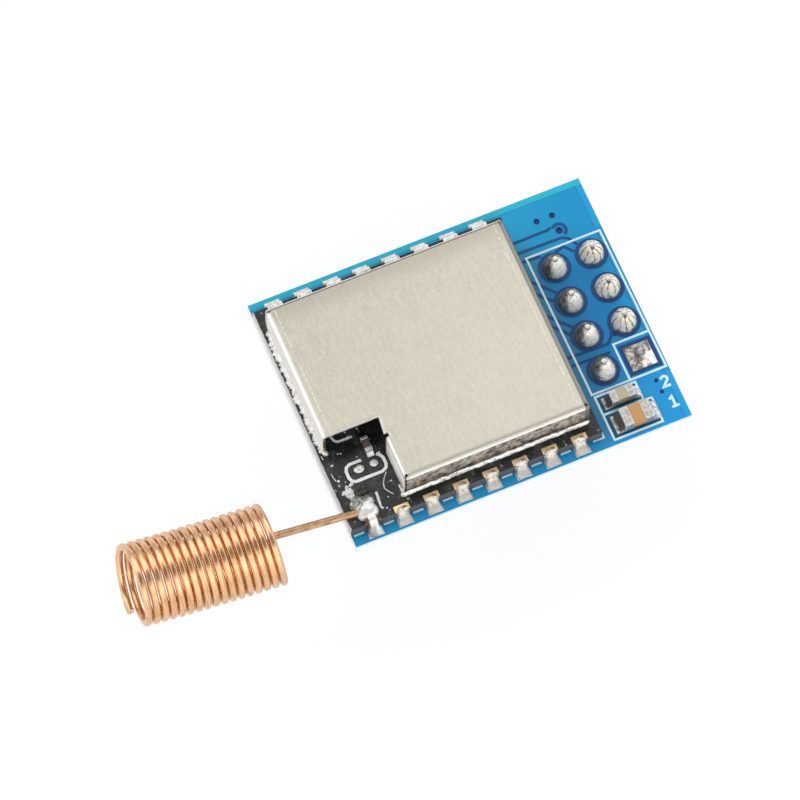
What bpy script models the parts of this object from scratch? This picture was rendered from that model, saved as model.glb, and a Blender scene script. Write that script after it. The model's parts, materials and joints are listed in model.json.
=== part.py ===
"""Radio module on a carrier board, with a spring antenna and a two-row pin header.

Board positions are in millimetres: X runs along the carrier from the antenna end to the
header end, Y across it, and Z up from the carrier's top face. The part's own origin is the
centre of the header strip's underside, where the module seats on its host.
"""

import math

import bmesh
import bpy
from mathutils import Matrix, Vector

MM = 0.001

# Radio board
CONTACT_END_MARGIN = 1.5
RADIO_WIDTH = 16.0
RADIO_THICKNESS = 0.8
CONTACT_PITCH = 2.0
CONTACTS_PER_SIDE = 8
CONTACT_HOLE_RADIUS = 0.3
CONTACT_LAND_WIDTH = 1.0
CONTACT_LAND_DEPTH = 0.43

# Carrier board
CARRIER_THICKNESS = 1.0
CARRIER_FRONT_MARGIN = 0.82
CARRIER_BACK_MARGIN = 0.9
HEADER_BAY = 5.8
COPPER = 0.035
CARRIER_LAND_FRONT_GAP = 0.15
CARRIER_LAND_BACK_GAP = 0.3

# Pin header
PIN_PITCH = 2.54
PIN_ROWS = 4
PIN_COLUMNS = 2
PIN_SIZE = 0.64
PIN_LENGTH_BELOW = 6.0
PIN_STAND_ABOVE = 1.5
PIN_TIP_TAPER = 0.35
PIN_TIP_SHARE = 0.45
STRIP_HEIGHT = 2.54
STRIP_NOTCH = 0.4
HEADER_END_MARGIN = 1.36
HEADER_FRONT_MARGIN = 4.94
PIN_HOLE_RADIUS = 0.5
PIN_LAND_RADIUS = 0.86
SOLDER_DOME_HEIGHT = 1.32
JOINT_RAMP_SHARE = 0.85

# Shield can
CAN_HEIGHT = 2.4
SHEET = 0.2
CAN_LEFT_INSET = 0.51
CAN_RIGHT_INSET = 0.61
CAN_FRONT_INSET = 1.14
CAN_BACK_INSET = 1.21
NOTCH_LENGTH = 3.66
NOTCH_DEPTH = 4.34
NOTCH_WALL_LENGTH = 2.9
FOLD_RADIUS = 0.22
CORNER_SLIT = 0.1
CORNER_SLIT_REACH = 0.3
CORNER_HOLE_RADIUS = 0.1
RELIEF = 0.26
BEAD_RADIUS = 0.2

# Spring antenna
WIRE_DIAMETER = 0.47
COIL_RADIUS = 2.44
COIL_PITCH = 0.543
COIL_TURNS = 17.12
COIL_POINTS_PER_TURN = 18
COIL_START_TURN = -0.33
COIL_OFFSET_LEFT = 5.45
COIL_OFFSET_BACK = 1.07
COIL_CENTRE_HEIGHT = 3.3
COIL_SWING_DEGREES = -3.9
COIL_BOW = 0.0139
LEAD_START_X = -4.5
LEAD_START_Y = 2.25
LEAD_END_X = 1.35
LEAD_END_Y = 1.62
LEAD_LIFT = 0.02

# Chip capacitors on the carrier
LARGE_CHIP = (2.0, 1.25, 0.85)
LARGE_CHIP_FROM_END = 3.3
LARGE_CHIP_FROM_FRONT = 1.22
LARGE_CHIP_END = 0.62
SMALL_CHIP = (1.6, 0.8, 0.78)
SMALL_CHIP_FROM_END = 3.6
SMALL_CHIP_FROM_FRONT = 2.78
SMALL_CHIP_END = 0.5
CHIP_EDGE = 0.05
FILLET_SHARE = 0.8
LARGE_FILLET_REACH = 0.5
SMALL_FILLET_REACH = 0.42

# Chips on the radio board
NOTCH_CHIP = (0.5, 1.0, 0.45)
NOTCH_CHIP_X = 3.1
NOTCH_CHIP_Y = 4.92
NOTCH_CHIP_END = 0.24
NOTCH_FILLET_REACH = 0.32
SPARE_PAD_LEFT = (2.06, 3.63)
SPARE_PAD_RIGHT = (3.07, 3.63)
SPARE_PAD_LEFT_SIZE = (0.36, 0.29, 0.17)
SPARE_PAD_RIGHT_SIZE = (0.29, 0.25, 0.15)
RADIO_CHIP_SIZE = (6.0, 6.0, 0.85)
RADIO_CHIP_PLACE = (9.6, 8.4)
CRYSTAL_SIZE = (3.2, 2.5, 0.7)
CRYSTAL_PLACE = (13.2, 3.4)
MATCHING_CHIP_SIZE = (1.0, 0.5, 0.5)
MATCHING_CHIP_1_PLACE = (4.6, 8.0)
MATCHING_CHIP_2_PLACE = (4.6, 9.4)

# Clearances
SOLDER_CLEARANCE = 0.02
PIN_CLEARANCE = 0.03
OVERCUT = 0.5

# Values that follow from the sizes above
RADIO_LENGTH = CONTACT_PITCH * (CONTACTS_PER_SIDE - 1) + CONTACT_END_MARGIN * 2
CARRIER_LENGTH = RADIO_LENGTH + HEADER_BAY
CARRIER_WIDTH = CARRIER_FRONT_MARGIN + RADIO_WIDTH + CARRIER_BACK_MARGIN
RADIO_FRONT = CARRIER_FRONT_MARGIN
RADIO_BACK = CARRIER_FRONT_MARGIN + RADIO_WIDTH
RADIO_UNDERSIDE = COPPER
RADIO_TOP = RADIO_UNDERSIDE + RADIO_THICKNESS
LAND_TOP = RADIO_TOP + COPPER
CAN_LEFT = CAN_LEFT_INSET
CAN_RIGHT = RADIO_LENGTH - CAN_RIGHT_INSET
CAN_FRONT = RADIO_FRONT + CAN_FRONT_INSET
CAN_BACK = RADIO_BACK - CAN_BACK_INSET
CAN_TOP = RADIO_TOP + CAN_HEIGHT
NOTCH_X = CAN_LEFT + NOTCH_LENGTH
NOTCH_Y = CAN_FRONT + NOTCH_DEPTH
PIN_OUTER_X = CARRIER_LENGTH - HEADER_END_MARGIN
PIN_INNER_X = PIN_OUTER_X - PIN_PITCH * (PIN_COLUMNS - 1)
HEADER_X = (PIN_OUTER_X + PIN_INNER_X) / 2
HEADER_Y = HEADER_FRONT_MARGIN + PIN_PITCH * (PIN_ROWS - 1) / 2
SEAT_Z = -CARRIER_THICKNESS - STRIP_HEIGHT
WIRE_RADIUS = WIRE_DIAMETER / 2
LEAD_Z = LAND_TOP + LEAD_LIFT + WIRE_RADIUS


def contact_x(index):
    """X of one castellated contact, counted from the antenna end."""
    return CONTACT_END_MARGIN + CONTACT_PITCH * index


def pin_place(index):
    """Board position of one header pin: pin 1 is the front pin of the outer column."""
    row = index // PIN_COLUMNS
    column = index % PIN_COLUMNS
    return PIN_OUTER_X - PIN_PITCH * column, HEADER_FRONT_MARGIN + PIN_PITCH * row


def place(x, y, z):
    """Board millimetres to the part's own frame in metres."""
    return Vector(((x - HEADER_X) * MM, (y - HEADER_Y) * MM, (z - SEAT_Z) * MM))


# Scene, collection and materials

for old in list(bpy.data.objects):
    bpy.data.objects.remove(old, do_unlink=True)

parts = bpy.data.collections.new("radio_module")
bpy.context.scene.collection.children.link(parts)


def material(name, colour, roughness, metallic):
    """A Principled material with one colour."""
    made = bpy.data.materials.new(name)
    made.use_nodes = True
    shader = made.node_tree.nodes["Principled BSDF"]
    shader.inputs["Base Color"].default_value = (*colour, 1.0)
    shader.inputs["Roughness"].default_value = roughness
    shader.inputs["Metallic"].default_value = metallic
    return made


BLUE_MASK = material("blue_mask", (0.02, 0.28, 0.55), 0.35, 0.0)
BLACK_MASK = material("black_mask", (0.02, 0.022, 0.024), 0.4, 0.0)
SHEET_METAL = material("sheet_metal", (0.62, 0.58, 0.50), 0.35, 1.0)
COPPER_WIRE = material("copper_wire", (0.80, 0.42, 0.20), 0.2, 1.0)
SOLDER = material("solder", (0.62, 0.62, 0.60), 0.25, 1.0)
TIN_PLATE = material("tin_plate", (0.70, 0.69, 0.66), 0.3, 1.0)
HEADER_BLACK = material("header_black", (0.015, 0.015, 0.015), 0.5, 0.0)
PIN_METAL = material("pin_metal", (0.75, 0.62, 0.35), 0.25, 1.0)
LARGE_CERAMIC = material("large_ceramic", (0.60, 0.30, 0.09), 0.5, 0.0)
SMALL_CERAMIC = material("small_ceramic", (0.50, 0.40, 0.20), 0.5, 0.0)
DARK_CERAMIC = material("dark_ceramic", (0.12, 0.09, 0.08), 0.5, 0.0)
CHIP_BLACK = material("chip_black", (0.02, 0.02, 0.02), 0.45, 0.0)


# Modelling helpers

def finish_piece(item, look):
    """Put a finished object in the parts collection with its one material."""
    for holder in list(item.users_collection):
        holder.objects.unlink(item)
    parts.objects.link(item)
    item.data.materials.clear()
    item.data.materials.append(look)
    if item.type == "MESH":
        item.data.shade_smooth()
        item.data.set_sharp_from_angle(angle=math.radians(32))
    return item


def box(name, low, high):
    """A box between two board positions, with its scale applied."""
    centre = [(a + b) / 2 for a, b in zip(low, high)]
    bpy.ops.mesh.primitive_cube_add(size=1.0, location=place(*centre))
    item = bpy.context.active_object
    item.name = name
    size = [(b - a) * MM for a, b in zip(low, high)]
    item.data.transform(Matrix.Diagonal((*size, 1.0)))
    return item


def rod(name, x, y, low, high, radius, sides):
    """An upright cylinder between two heights."""
    bpy.ops.mesh.primitive_cylinder_add(vertices=sides, radius=radius * MM, depth=(high - low) * MM,
                                        location=place(x, y, (low + high) / 2))
    item = bpy.context.active_object
    item.name = name
    return item


def to_mesh(item):
    """The evaluated shape as a mesh object of its own, welded shut."""
    bpy.context.view_layer.update()
    shape = item.evaluated_get(bpy.context.evaluated_depsgraph_get())
    mesh = bpy.data.meshes.new_from_object(shape)
    work = bmesh.new()
    work.from_mesh(mesh)
    bmesh.ops.remove_doubles(work, verts=work.verts, dist=1e-7)
    bmesh.ops.recalc_face_normals(work, faces=work.faces)
    work.to_mesh(mesh)
    work.free()
    made = bpy.data.objects.new(item.name, mesh)
    bpy.context.scene.collection.objects.link(made)
    made.matrix_world = item.matrix_world
    name = item.name
    bpy.data.objects.remove(item, do_unlink=True)
    made.name = name
    return made


def turned(name, x, y, profile, steps, turn_degrees=0.0):
    """A turned solid from (radius, height) points that run from the top to the bottom."""
    mesh = bpy.data.meshes.new(name)
    work = bmesh.new()
    previous = None
    for radius, height in profile:
        vertex = work.verts.new((radius * MM, 0.0, height * MM))
        if previous is not None:
            work.edges.new((previous, vertex))
        previous = vertex
    work.to_mesh(mesh)
    work.free()
    item = bpy.data.objects.new(name, mesh)
    bpy.context.scene.collection.objects.link(item)
    item.location = place(x, y, 0.0)
    screw = item.modifiers.new("turn", "SCREW")
    screw.steps = steps
    screw.render_steps = steps
    screw.use_merge_vertices = True
    screw.merge_threshold = 1e-6
    item.rotation_euler = (0.0, 0.0, math.radians(turn_degrees))
    return to_mesh(item)


def slab(name, outline, low, high, plane="XY"):
    """A flat outline given in board millimetres, made thick between two levels, its flat faces whole."""
    path = bpy.data.curves.new(name, "CURVE")
    path.dimensions = "2D"
    path.fill_mode = "BOTH"
    path.extrude = (high - low) / 2 * MM
    spline = path.splines.new("POLY")
    spline.points.add(len(outline) - 1)
    for point, (u, v) in zip(spline.points, outline):
        point.co = (u * MM, v * MM, 0.0, 1.0)
    spline.use_cyclic_u = True
    item = bpy.data.objects.new(name, path)
    bpy.context.scene.collection.objects.link(item)
    middle = (low + high) / 2
    if plane == "XY":
        item.location = place(0.0, 0.0, middle)
    elif plane == "YZ":
        item.rotation_euler = (math.radians(90), 0.0, math.radians(90))
        item.location = place(middle, 0.0, 0.0)
    else:
        item.rotation_euler = (math.radians(90), 0.0, 0.0)
        item.location = place(0.0, middle, 0.0)
    item = to_mesh(item)
    work = bmesh.new()
    work.from_mesh(item.data)
    bmesh.ops.dissolve_limit(work, angle_limit=math.radians(0.5), verts=work.verts, edges=work.edges)
    work.to_mesh(item.data)
    work.free()
    return item


def combine(item, other, operation):
    """Join two meshes, or cut the first with the second, which is removed."""
    change = item.modifiers.new("combine", "BOOLEAN")
    change.operation = operation
    change.solver = "EXACT"
    change.object = other
    made = to_mesh(item)
    bpy.data.objects.remove(other, do_unlink=True)
    return made


def group(name, items):
    """Several separate meshes as one object, for a single cut or union."""
    work = bmesh.new()
    for item in items:
        bpy.context.view_layer.update()
        start = len(work.verts)
        work.from_mesh(item.data)
        work.verts.ensure_lookup_table()
        bmesh.ops.transform(work, matrix=item.matrix_world, verts=work.verts[start:])
        bpy.data.objects.remove(item, do_unlink=True)
    mesh = bpy.data.meshes.new(name)
    work.to_mesh(mesh)
    work.free()
    made = bpy.data.objects.new(name, mesh)
    bpy.context.scene.collection.objects.link(made)
    return made


def round_edges(item, width, chosen, segments=2):
    """Bevel the edges that a test on their end points picks, given in board millimetres."""
    bpy.context.view_layer.update()
    work = bmesh.new()
    work.from_mesh(item.data)
    world = item.matrix_world
    origin = place(0.0, 0.0, 0.0)
    picked = []
    for edge in work.edges:
        ends = [(world @ vertex.co - origin) / MM for vertex in edge.verts]
        if chosen(*ends):
            picked.append(edge)
    bmesh.ops.bevel(work, geom=picked, offset=width * MM, segments=segments, profile=0.5,
                    affect="EDGES", clamp_overlap=True)
    work.to_mesh(item.data)
    work.free()
    return item


# Carrier board: laminate with raised lands, drilled for the pins

def carrier_board():
    item = box("carrier_board", (0.0, 0.0, -CARRIER_THICKNESS), (CARRIER_LENGTH, CARRIER_WIDTH, 0.0))
    lands = []
    root = -COPPER
    for index in range(CONTACTS_PER_SIDE):
        x = contact_x(index)
        half = CONTACT_LAND_WIDTH / 2
        lands.append(box("land", (x - half, CARRIER_LAND_FRONT_GAP, root),
                         (x + half, RADIO_FRONT + CONTACT_LAND_DEPTH, COPPER)))
        lands.append(box("land", (x - half, RADIO_BACK - CONTACT_LAND_DEPTH, root),
                         (x + half, CARRIER_WIDTH - CARRIER_LAND_BACK_GAP, COPPER)))
    for index in range(PIN_ROWS * PIN_COLUMNS):
        x, y = pin_place(index)
        if index == 0:
            lands.append(box("land", (x - PIN_LAND_RADIUS, y - PIN_LAND_RADIUS, root),
                             (x + PIN_LAND_RADIUS, y + PIN_LAND_RADIUS, COPPER)))
        else:
            lands.append(rod("land", x, y, root, COPPER, PIN_LAND_RADIUS, 16))
    for size, x, y, end, reach in chip_lands():
        for side in (-1, 1):
            inner = x + side * (size[0] / 2 - end)
            outer = x + side * (size[0] / 2 + reach + SOLDER_CLEARANCE)
            lands.append(box("land", (min(inner, outer), y - size[1] / 2, root),
                             (max(inner, outer), y + size[1] / 2, COPPER)))
    item = combine(item, group("lands", lands), "UNION")
    holes = []
    for index in range(PIN_ROWS * PIN_COLUMNS):
        x, y = pin_place(index)
        holes.append(rod("hole", x, y, -CARRIER_THICKNESS - OVERCUT, OVERCUT, PIN_HOLE_RADIUS, 12))
    item = combine(item, group("holes", holes), "DIFFERENCE")
    return finish_piece(item, BLUE_MASK)


def chip_lands():
    """Size, centre, end length and fillet reach of the two capacitors."""
    return [
        (LARGE_CHIP, CARRIER_LENGTH - LARGE_CHIP_FROM_END, LARGE_CHIP_FROM_FRONT, LARGE_CHIP_END,
         LARGE_FILLET_REACH),
        (SMALL_CHIP, CARRIER_LENGTH - SMALL_CHIP_FROM_END, SMALL_CHIP_FROM_FRONT, SMALL_CHIP_END,
         SMALL_FILLET_REACH),
    ]


# Radio board: laminate with plated half holes along both long edges

def radio_board():
    item = box("radio_board", (0.0, RADIO_FRONT, RADIO_UNDERSIDE), (RADIO_LENGTH, RADIO_BACK, RADIO_TOP))
    lands = []
    holes = []
    for index in range(CONTACTS_PER_SIDE):
        x = contact_x(index)
        half = CONTACT_LAND_WIDTH / 2
        lands.append(box("land", (x - half, RADIO_FRONT, RADIO_TOP - COPPER),
                         (x + half, RADIO_FRONT + CONTACT_LAND_DEPTH, LAND_TOP)))
        lands.append(box("land", (x - half, RADIO_BACK - CONTACT_LAND_DEPTH, RADIO_TOP - COPPER),
                         (x + half, RADIO_BACK, LAND_TOP)))
        for y in (RADIO_FRONT, RADIO_BACK):
            holes.append(rod("hole", x, y, RADIO_UNDERSIDE - OVERCUT, LAND_TOP + OVERCUT,
                             CONTACT_HOLE_RADIUS, 16))
    item = combine(item, group("lands", lands), "UNION")
    item = combine(item, group("holes", holes), "DIFFERENCE")
    return finish_piece(item, BLACK_MASK)


# Shield can: one sheet folded down on the sides, with a notch over the antenna corner

def can_hollow():
    """The can's inside, run out under the lid where the notch has no wall."""
    left = CAN_LEFT + SHEET
    right = CAN_RIGHT - SHEET
    front = CAN_FRONT + SHEET
    back = CAN_BACK - SHEET
    side = NOTCH_X + SHEET
    wall_end = CAN_FRONT + NOTCH_WALL_LENGTH
    outline = [(side, front), (right, front), (right, back), (left, back), (left, NOTCH_Y - OVERCUT),
               (NOTCH_X - OVERCUT, NOTCH_Y - OVERCUT), (NOTCH_X - OVERCUT, wall_end), (side, wall_end)]
    return slab("hollow", outline, RADIO_TOP - OVERCUT, CAN_TOP - SHEET)


def shield_can():
    wall_end = CAN_FRONT + NOTCH_WALL_LENGTH
    relief_end = wall_end + RELIEF
    outline = [(NOTCH_X, CAN_FRONT), (CAN_RIGHT, CAN_FRONT), (CAN_RIGHT, CAN_BACK), (CAN_LEFT, CAN_BACK),
               (CAN_LEFT, NOTCH_Y), (NOTCH_X, NOTCH_Y), (NOTCH_X, relief_end),
               (NOTCH_X + RELIEF, relief_end), (NOTCH_X + RELIEF, wall_end), (NOTCH_X, wall_end)]
    item = slab("shield_can", outline, RADIO_TOP, CAN_TOP)

    def on_notch(point):
        inside = point.y > CAN_FRONT + 0.01 and point.x < CAN_RIGHT - 0.01 and point.y < CAN_BACK - 0.01
        return inside and point.x > CAN_LEFT + 0.01

    def folded(first, second):
        if min(first.z, second.z) < CAN_TOP - 0.01:
            return False
        if on_notch(first) or on_notch(second):
            return abs(min(first.y, second.y) - CAN_FRONT) < 0.01 and abs(first.x - second.x) < 0.01
        return abs(first.y - second.y) > 0.01 or abs(first.y - NOTCH_Y) > 0.01

    round_edges(item, FOLD_RADIUS, folded, 5)
    item = combine(item, can_hollow(), "DIFFERENCE")
    corners = [(NOTCH_X, CAN_FRONT, 1, 1), (CAN_RIGHT, CAN_FRONT, -1, 1), (CAN_RIGHT, CAN_BACK, -1, -1),
               (CAN_LEFT, CAN_BACK, 1, -1)]
    for x, y, inward_x, inward_y in corners:
        slit = box("slit", (x - CORNER_SLIT_REACH, y - CORNER_SLIT / 2, RADIO_TOP - OVERCUT),
                   (x + CORNER_SLIT_REACH, y + CORNER_SLIT / 2, CAN_TOP + OVERCUT))
        slit.rotation_euler = (0.0, 0.0, math.radians(45 * inward_x * inward_y))
        item = combine(item, slit, "DIFFERENCE")
        shift = CORNER_SLIT_REACH / math.sqrt(2)
        hole = rod("relief", x + inward_x * shift, y + inward_y * shift, CAN_TOP - SHEET - OVERCUT,
                   CAN_TOP + OVERCUT, CORNER_HOLE_RADIUS, 12)
        item = combine(item, hole, "DIFFERENCE")
    return finish_piece(item, SHEET_METAL)


def solder_bead(name, start, end, radius, lumps, keep_out, look):
    """A lumpy bead along a corner, cut back to the faces that it wets."""
    path = bpy.data.curves.new(name, "CURVE")
    path.dimensions = "3D"
    path.bevel_depth = radius * MM
    path.bevel_resolution = 2
    path.use_fill_caps = True
    spline = path.splines.new("POLY")
    spline.points.add(lumps)
    for index, point in enumerate(spline.points):
        share = index / lumps
        x = start[0] + (end[0] - start[0]) * share
        y = start[1] + (end[1] - start[1]) * share
        z = start[2] + (end[2] - start[2]) * share
        point.co = (*place(x, y, z), 1.0)
        swell = 1.0 + 0.08 * math.sin(2.3 * index) + 0.05 * math.sin(5.1 * index + 1.0)
        if index in (0, lumps):
            swell = 0.6
        point.radius = swell
    item = bpy.data.objects.new(name, path)
    bpy.context.scene.collection.objects.link(item)
    item = to_mesh(item)
    item = combine(item, keep_out, "DIFFERENCE")
    return finish_piece(item, look)


def can_beads():
    reach = BEAD_RADIUS * 2
    keep_out = group("bead_cut", [
        box("wall", (NOTCH_X - reach, CAN_FRONT - SOLDER_CLEARANCE, RADIO_TOP - reach),
            (CAN_RIGHT + reach * 2, CAN_FRONT + reach, RADIO_TOP + reach)),
        box("board", (NOTCH_X - reach * 2, CAN_FRONT - reach * 2, RADIO_TOP - reach),
            (CAN_RIGHT + reach * 3, CAN_FRONT - SOLDER_CLEARANCE / 2, RADIO_TOP)),
    ])
    keep_out = merge_solids(keep_out)
    solder_bead("shield_bead_front", (NOTCH_X - 0.12, CAN_FRONT, RADIO_TOP),
                (CAN_RIGHT + 0.15, CAN_FRONT, RADIO_TOP), BEAD_RADIUS, 44, keep_out, SOLDER)
    keep_out = group("bead_cut", [
        box("wall", (CAN_LEFT - SOLDER_CLEARANCE, NOTCH_Y - reach, RADIO_TOP - reach),
            (CAN_LEFT + reach, CAN_BACK + reach, RADIO_TOP + reach)),
        box("board", (CAN_LEFT - reach * 2, NOTCH_Y - reach * 2, RADIO_TOP - reach),
            (CAN_LEFT - SOLDER_CLEARANCE / 2, CAN_BACK + reach * 2, RADIO_TOP)),
    ])
    keep_out = merge_solids(keep_out)
    solder_bead("shield_bead_left", (CAN_LEFT, NOTCH_Y - 0.02, RADIO_TOP), (CAN_LEFT, CAN_BACK - 0.3, RADIO_TOP),
                BEAD_RADIUS * 0.9, 34, keep_out, SOLDER)


def merge_solids(item):
    """Union of the overlapping solids inside one mesh object."""
    extra = box("extra", (0.0, 0.0, -20.0), (0.1, 0.1, -19.9))
    change = item.modifiers.new("merge", "BOOLEAN")
    change.operation = "DIFFERENCE"
    change.solver = "EXACT"
    change.use_self = True
    change.object = extra
    made = to_mesh(item)
    bpy.data.objects.remove(extra, do_unlink=True)
    return made


# Spring antenna: a close right-handed helix and a straight lead onto the corner contact

def coil_point(turn):
    """Wire centre at a turn count, zero at the first crest; the coil bows slightly upwards."""
    swing = math.radians(COIL_SWING_DEGREES)
    along = Vector((math.cos(swing), math.sin(swing), 0.0))
    across = Vector((-math.sin(swing), math.cos(swing), 0.0))
    crests = COIL_TURNS + COIL_START_TURN - 0.79
    back = (crests - turn) * COIL_PITCH
    centre = Vector((-COIL_OFFSET_LEFT, COIL_OFFSET_BACK, COIL_CENTRE_HEIGHT)) - along * back
    centre.z += 0.5 * COIL_BOW * back * back
    lean = math.atan(COIL_BOW * back)
    up = Vector((along.x * math.sin(lean), along.y * math.sin(lean), math.cos(lean)))
    angle = 2 * math.pi * turn
    return centre + (across * math.cos(angle) + up * math.sin(angle)) * COIL_RADIUS


def spring_antenna():
    last = COIL_START_TURN + COIL_TURNS
    count = round(COIL_TURNS * COIL_POINTS_PER_TURN)
    points = [coil_point(COIL_START_TURN + COIL_TURNS * i / count) for i in range(count + 1)]
    leaving = (coil_point(last) - coil_point(last - 0.01)).normalized()
    lead_start = Vector((LEAD_START_X, LEAD_START_Y, LEAD_Z))
    lead_end = Vector((LEAD_END_X, LEAD_END_Y, LEAD_Z))
    heading = (lead_end - lead_start).normalized()
    first = points[-1]
    stretch = (lead_start - first).length
    control_a = first + leaving * stretch * 0.45
    control_b = lead_start - heading * stretch * 0.45
    for step in range(1, 7):
        t = step / 6
        spot = (first * (1 - t) ** 3 + control_a * (3 * t * (1 - t) ** 2)
                + control_b * (3 * t * t * (1 - t)) + lead_start * t ** 3)
        points.append(spot)
    for step in range(1, 5):
        points.append(lead_start.lerp(lead_end, step / 4))
    path = bpy.data.curves.new("spring_antenna", "CURVE")
    path.dimensions = "3D"
    path.bevel_depth = WIRE_RADIUS * MM
    path.bevel_resolution = 2
    path.use_fill_caps = True
    spline = path.splines.new("POLY")
    spline.points.add(len(points) - 1)
    for point, spot in zip(spline.points, points):
        point.co = (*place(*spot), 1.0)
    item = bpy.data.objects.new("spring_antenna", path)
    bpy.context.scene.collection.objects.link(item)
    return finish_piece(to_mesh(item), COPPER_WIRE)


# Solder joints on the castellated contacts

def board_keep_out(x, y_edge, side):
    """The radio board's space round one contact, with its half hole and a clearance left open."""
    reach = CONTACT_PITCH * 0.9
    inner = y_edge + side * SOLDER_CLEARANCE * -1
    outer = y_edge + side * reach
    item = box("keep_out", (x - reach, min(inner, outer), RADIO_UNDERSIDE - OVERCUT),
               (x + reach, max(inner, outer), LAND_TOP))
    hole = rod("hole", x, y_edge, RADIO_UNDERSIDE - OVERCUT * 2, LAND_TOP + OVERCUT,
               CONTACT_HOLE_RADIUS - SOLDER_CLEARANCE, 16)
    return combine(item, hole, "DIFFERENCE")


def front_joint(name, index):
    """Solder that fills the half hole, stands on its land and runs down to the carrier's land."""
    x = contact_x(index)
    neck = CONTACT_HOLE_RADIUS - SOLDER_CLEARANCE
    foot = CONTACT_LAND_WIDTH / 2 - 0.03
    profile = [(0.0, LAND_TOP + 0.17), (neck * 0.75, LAND_TOP + 0.14), (neck * 1.25, LAND_TOP),
               (neck * 1.3, RADIO_TOP * 0.75), (neck * 1.42, RADIO_TOP * 0.42), (foot * 0.94, COPPER + 0.12),
               (foot, COPPER), (0.0, COPPER)]
    item = turned(name, x, RADIO_FRONT, profile, 14, 360 / 28)
    front = CARRIER_LAND_FRONT_GAP + SOLDER_CLEARANCE
    run = RADIO_FRONT - front
    outline = [(front, COPPER), (front, COPPER + 0.04), (front + run * 0.25, COPPER + RADIO_THICKNESS * 0.12),
               (front + run * 0.6, COPPER + RADIO_THICKNESS * 0.5), (front + run * 0.95, RADIO_TOP * 0.98),
               (front + run * 0.95, COPPER)]
    ramp = slab("ramp", outline, x - foot * JOINT_RAMP_SHARE, x + foot * JOINT_RAMP_SHARE, "YZ")
    item = combine(item, ramp, "UNION")
    item = combine(item, board_keep_out(x, RADIO_FRONT, 1), "DIFFERENCE")
    return finish_piece(item, SOLDER)


def back_joint(name, index):
    """A broad sheet of solder over the contact's land and down to the carrier's land."""
    x = contact_x(index)
    half = CONTACT_LAND_WIDTH / 2 - 0.03
    edge = RADIO_BACK + SOLDER_CLEARANCE
    reach = CARRIER_WIDTH - CARRIER_LAND_BACK_GAP - RADIO_BACK - 0.03
    start = RADIO_BACK - CONTACT_LAND_DEPTH + 0.04
    outline = [(start, LAND_TOP), (start + 0.05, LAND_TOP + 0.06), (RADIO_BACK - 0.08, LAND_TOP + 0.11),
               (RADIO_BACK + 0.1, LAND_TOP), (RADIO_BACK + reach * 0.42, RADIO_TOP * 0.5),
               (RADIO_BACK + reach * 0.68, RADIO_TOP * 0.2), (RADIO_BACK + reach, COPPER + 0.05),
               (RADIO_BACK + reach, COPPER), (edge, COPPER), (edge, LAND_TOP)]
    item = slab(name, outline, x - half, x + half, "YZ")
    return finish_piece(item, SOLDER)


def antenna_joint():
    """The hand-made joint: a lump round the wire's end that runs down over the board's edge."""
    x = contact_x(0)
    lump_x = (LEAD_END_X + x) / 2 - 0.03
    bpy.ops.mesh.primitive_uv_sphere_add(segments=16, ring_count=10, radius=MM,
                                         location=place(lump_x, RADIO_FRONT + 0.9, LAND_TOP + 0.1))
    lump = bpy.context.active_object
    lump.data.transform(Matrix.Diagonal((0.76, 0.98, 0.6, 1.0)))
    foot = CONTACT_LAND_WIDTH / 2 + 0.02
    profile = [(0.0, LAND_TOP + 0.42), (foot * 0.6, LAND_TOP + 0.34), (foot * 0.82, LAND_TOP + 0.08),
               (foot * 0.78, RADIO_TOP * 0.7), (foot * 0.8, RADIO_TOP * 0.4), (foot * 0.94, COPPER + 0.12),
               (foot, COPPER), (0.0, COPPER)]
    apron = turned("apron", x, RADIO_FRONT, profile, 16, 360 / 32)
    apron.data.transform(Matrix.Diagonal((1.0, 1.2, 1.0, 1.0)))
    item = combine(lump, apron, "UNION")
    item.name = "antenna_joint"
    reach = 3.0
    keep_out = box("keep_out", (x - reach, RADIO_FRONT - SOLDER_CLEARANCE, RADIO_UNDERSIDE - OVERCUT),
                   (x + reach, RADIO_FRONT + reach, LAND_TOP))
    hole = rod("hole", x, RADIO_FRONT, RADIO_UNDERSIDE - OVERCUT * 2, LAND_TOP + OVERCUT,
               CONTACT_HOLE_RADIUS - SOLDER_CLEARANCE, 16)
    item = combine(item, combine(keep_out, hole, "DIFFERENCE"), "DIFFERENCE")
    start = Vector((LEAD_START_X, LEAD_START_Y, LEAD_Z))
    end = Vector((LEAD_END_X, LEAD_END_Y, LEAD_Z))
    heading = (end - start).normalized()
    middle = (start + end) / 2 + heading * SOLDER_CLEARANCE / 2
    bpy.ops.mesh.primitive_cylinder_add(vertices=16, radius=(WIRE_RADIUS + SOLDER_CLEARANCE) * MM,
                                        depth=((end - start).length + SOLDER_CLEARANCE) * MM,
                                        location=place(*middle))
    bore = bpy.context.active_object
    bore.rotation_euler = (0.0, math.radians(90), math.atan2(heading.y, heading.x))
    item = combine(item, bore, "DIFFERENCE")
    return finish_piece(item, SOLDER)


# Pin header: strip, square pins, and the solder on the carrier's upper lands

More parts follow.
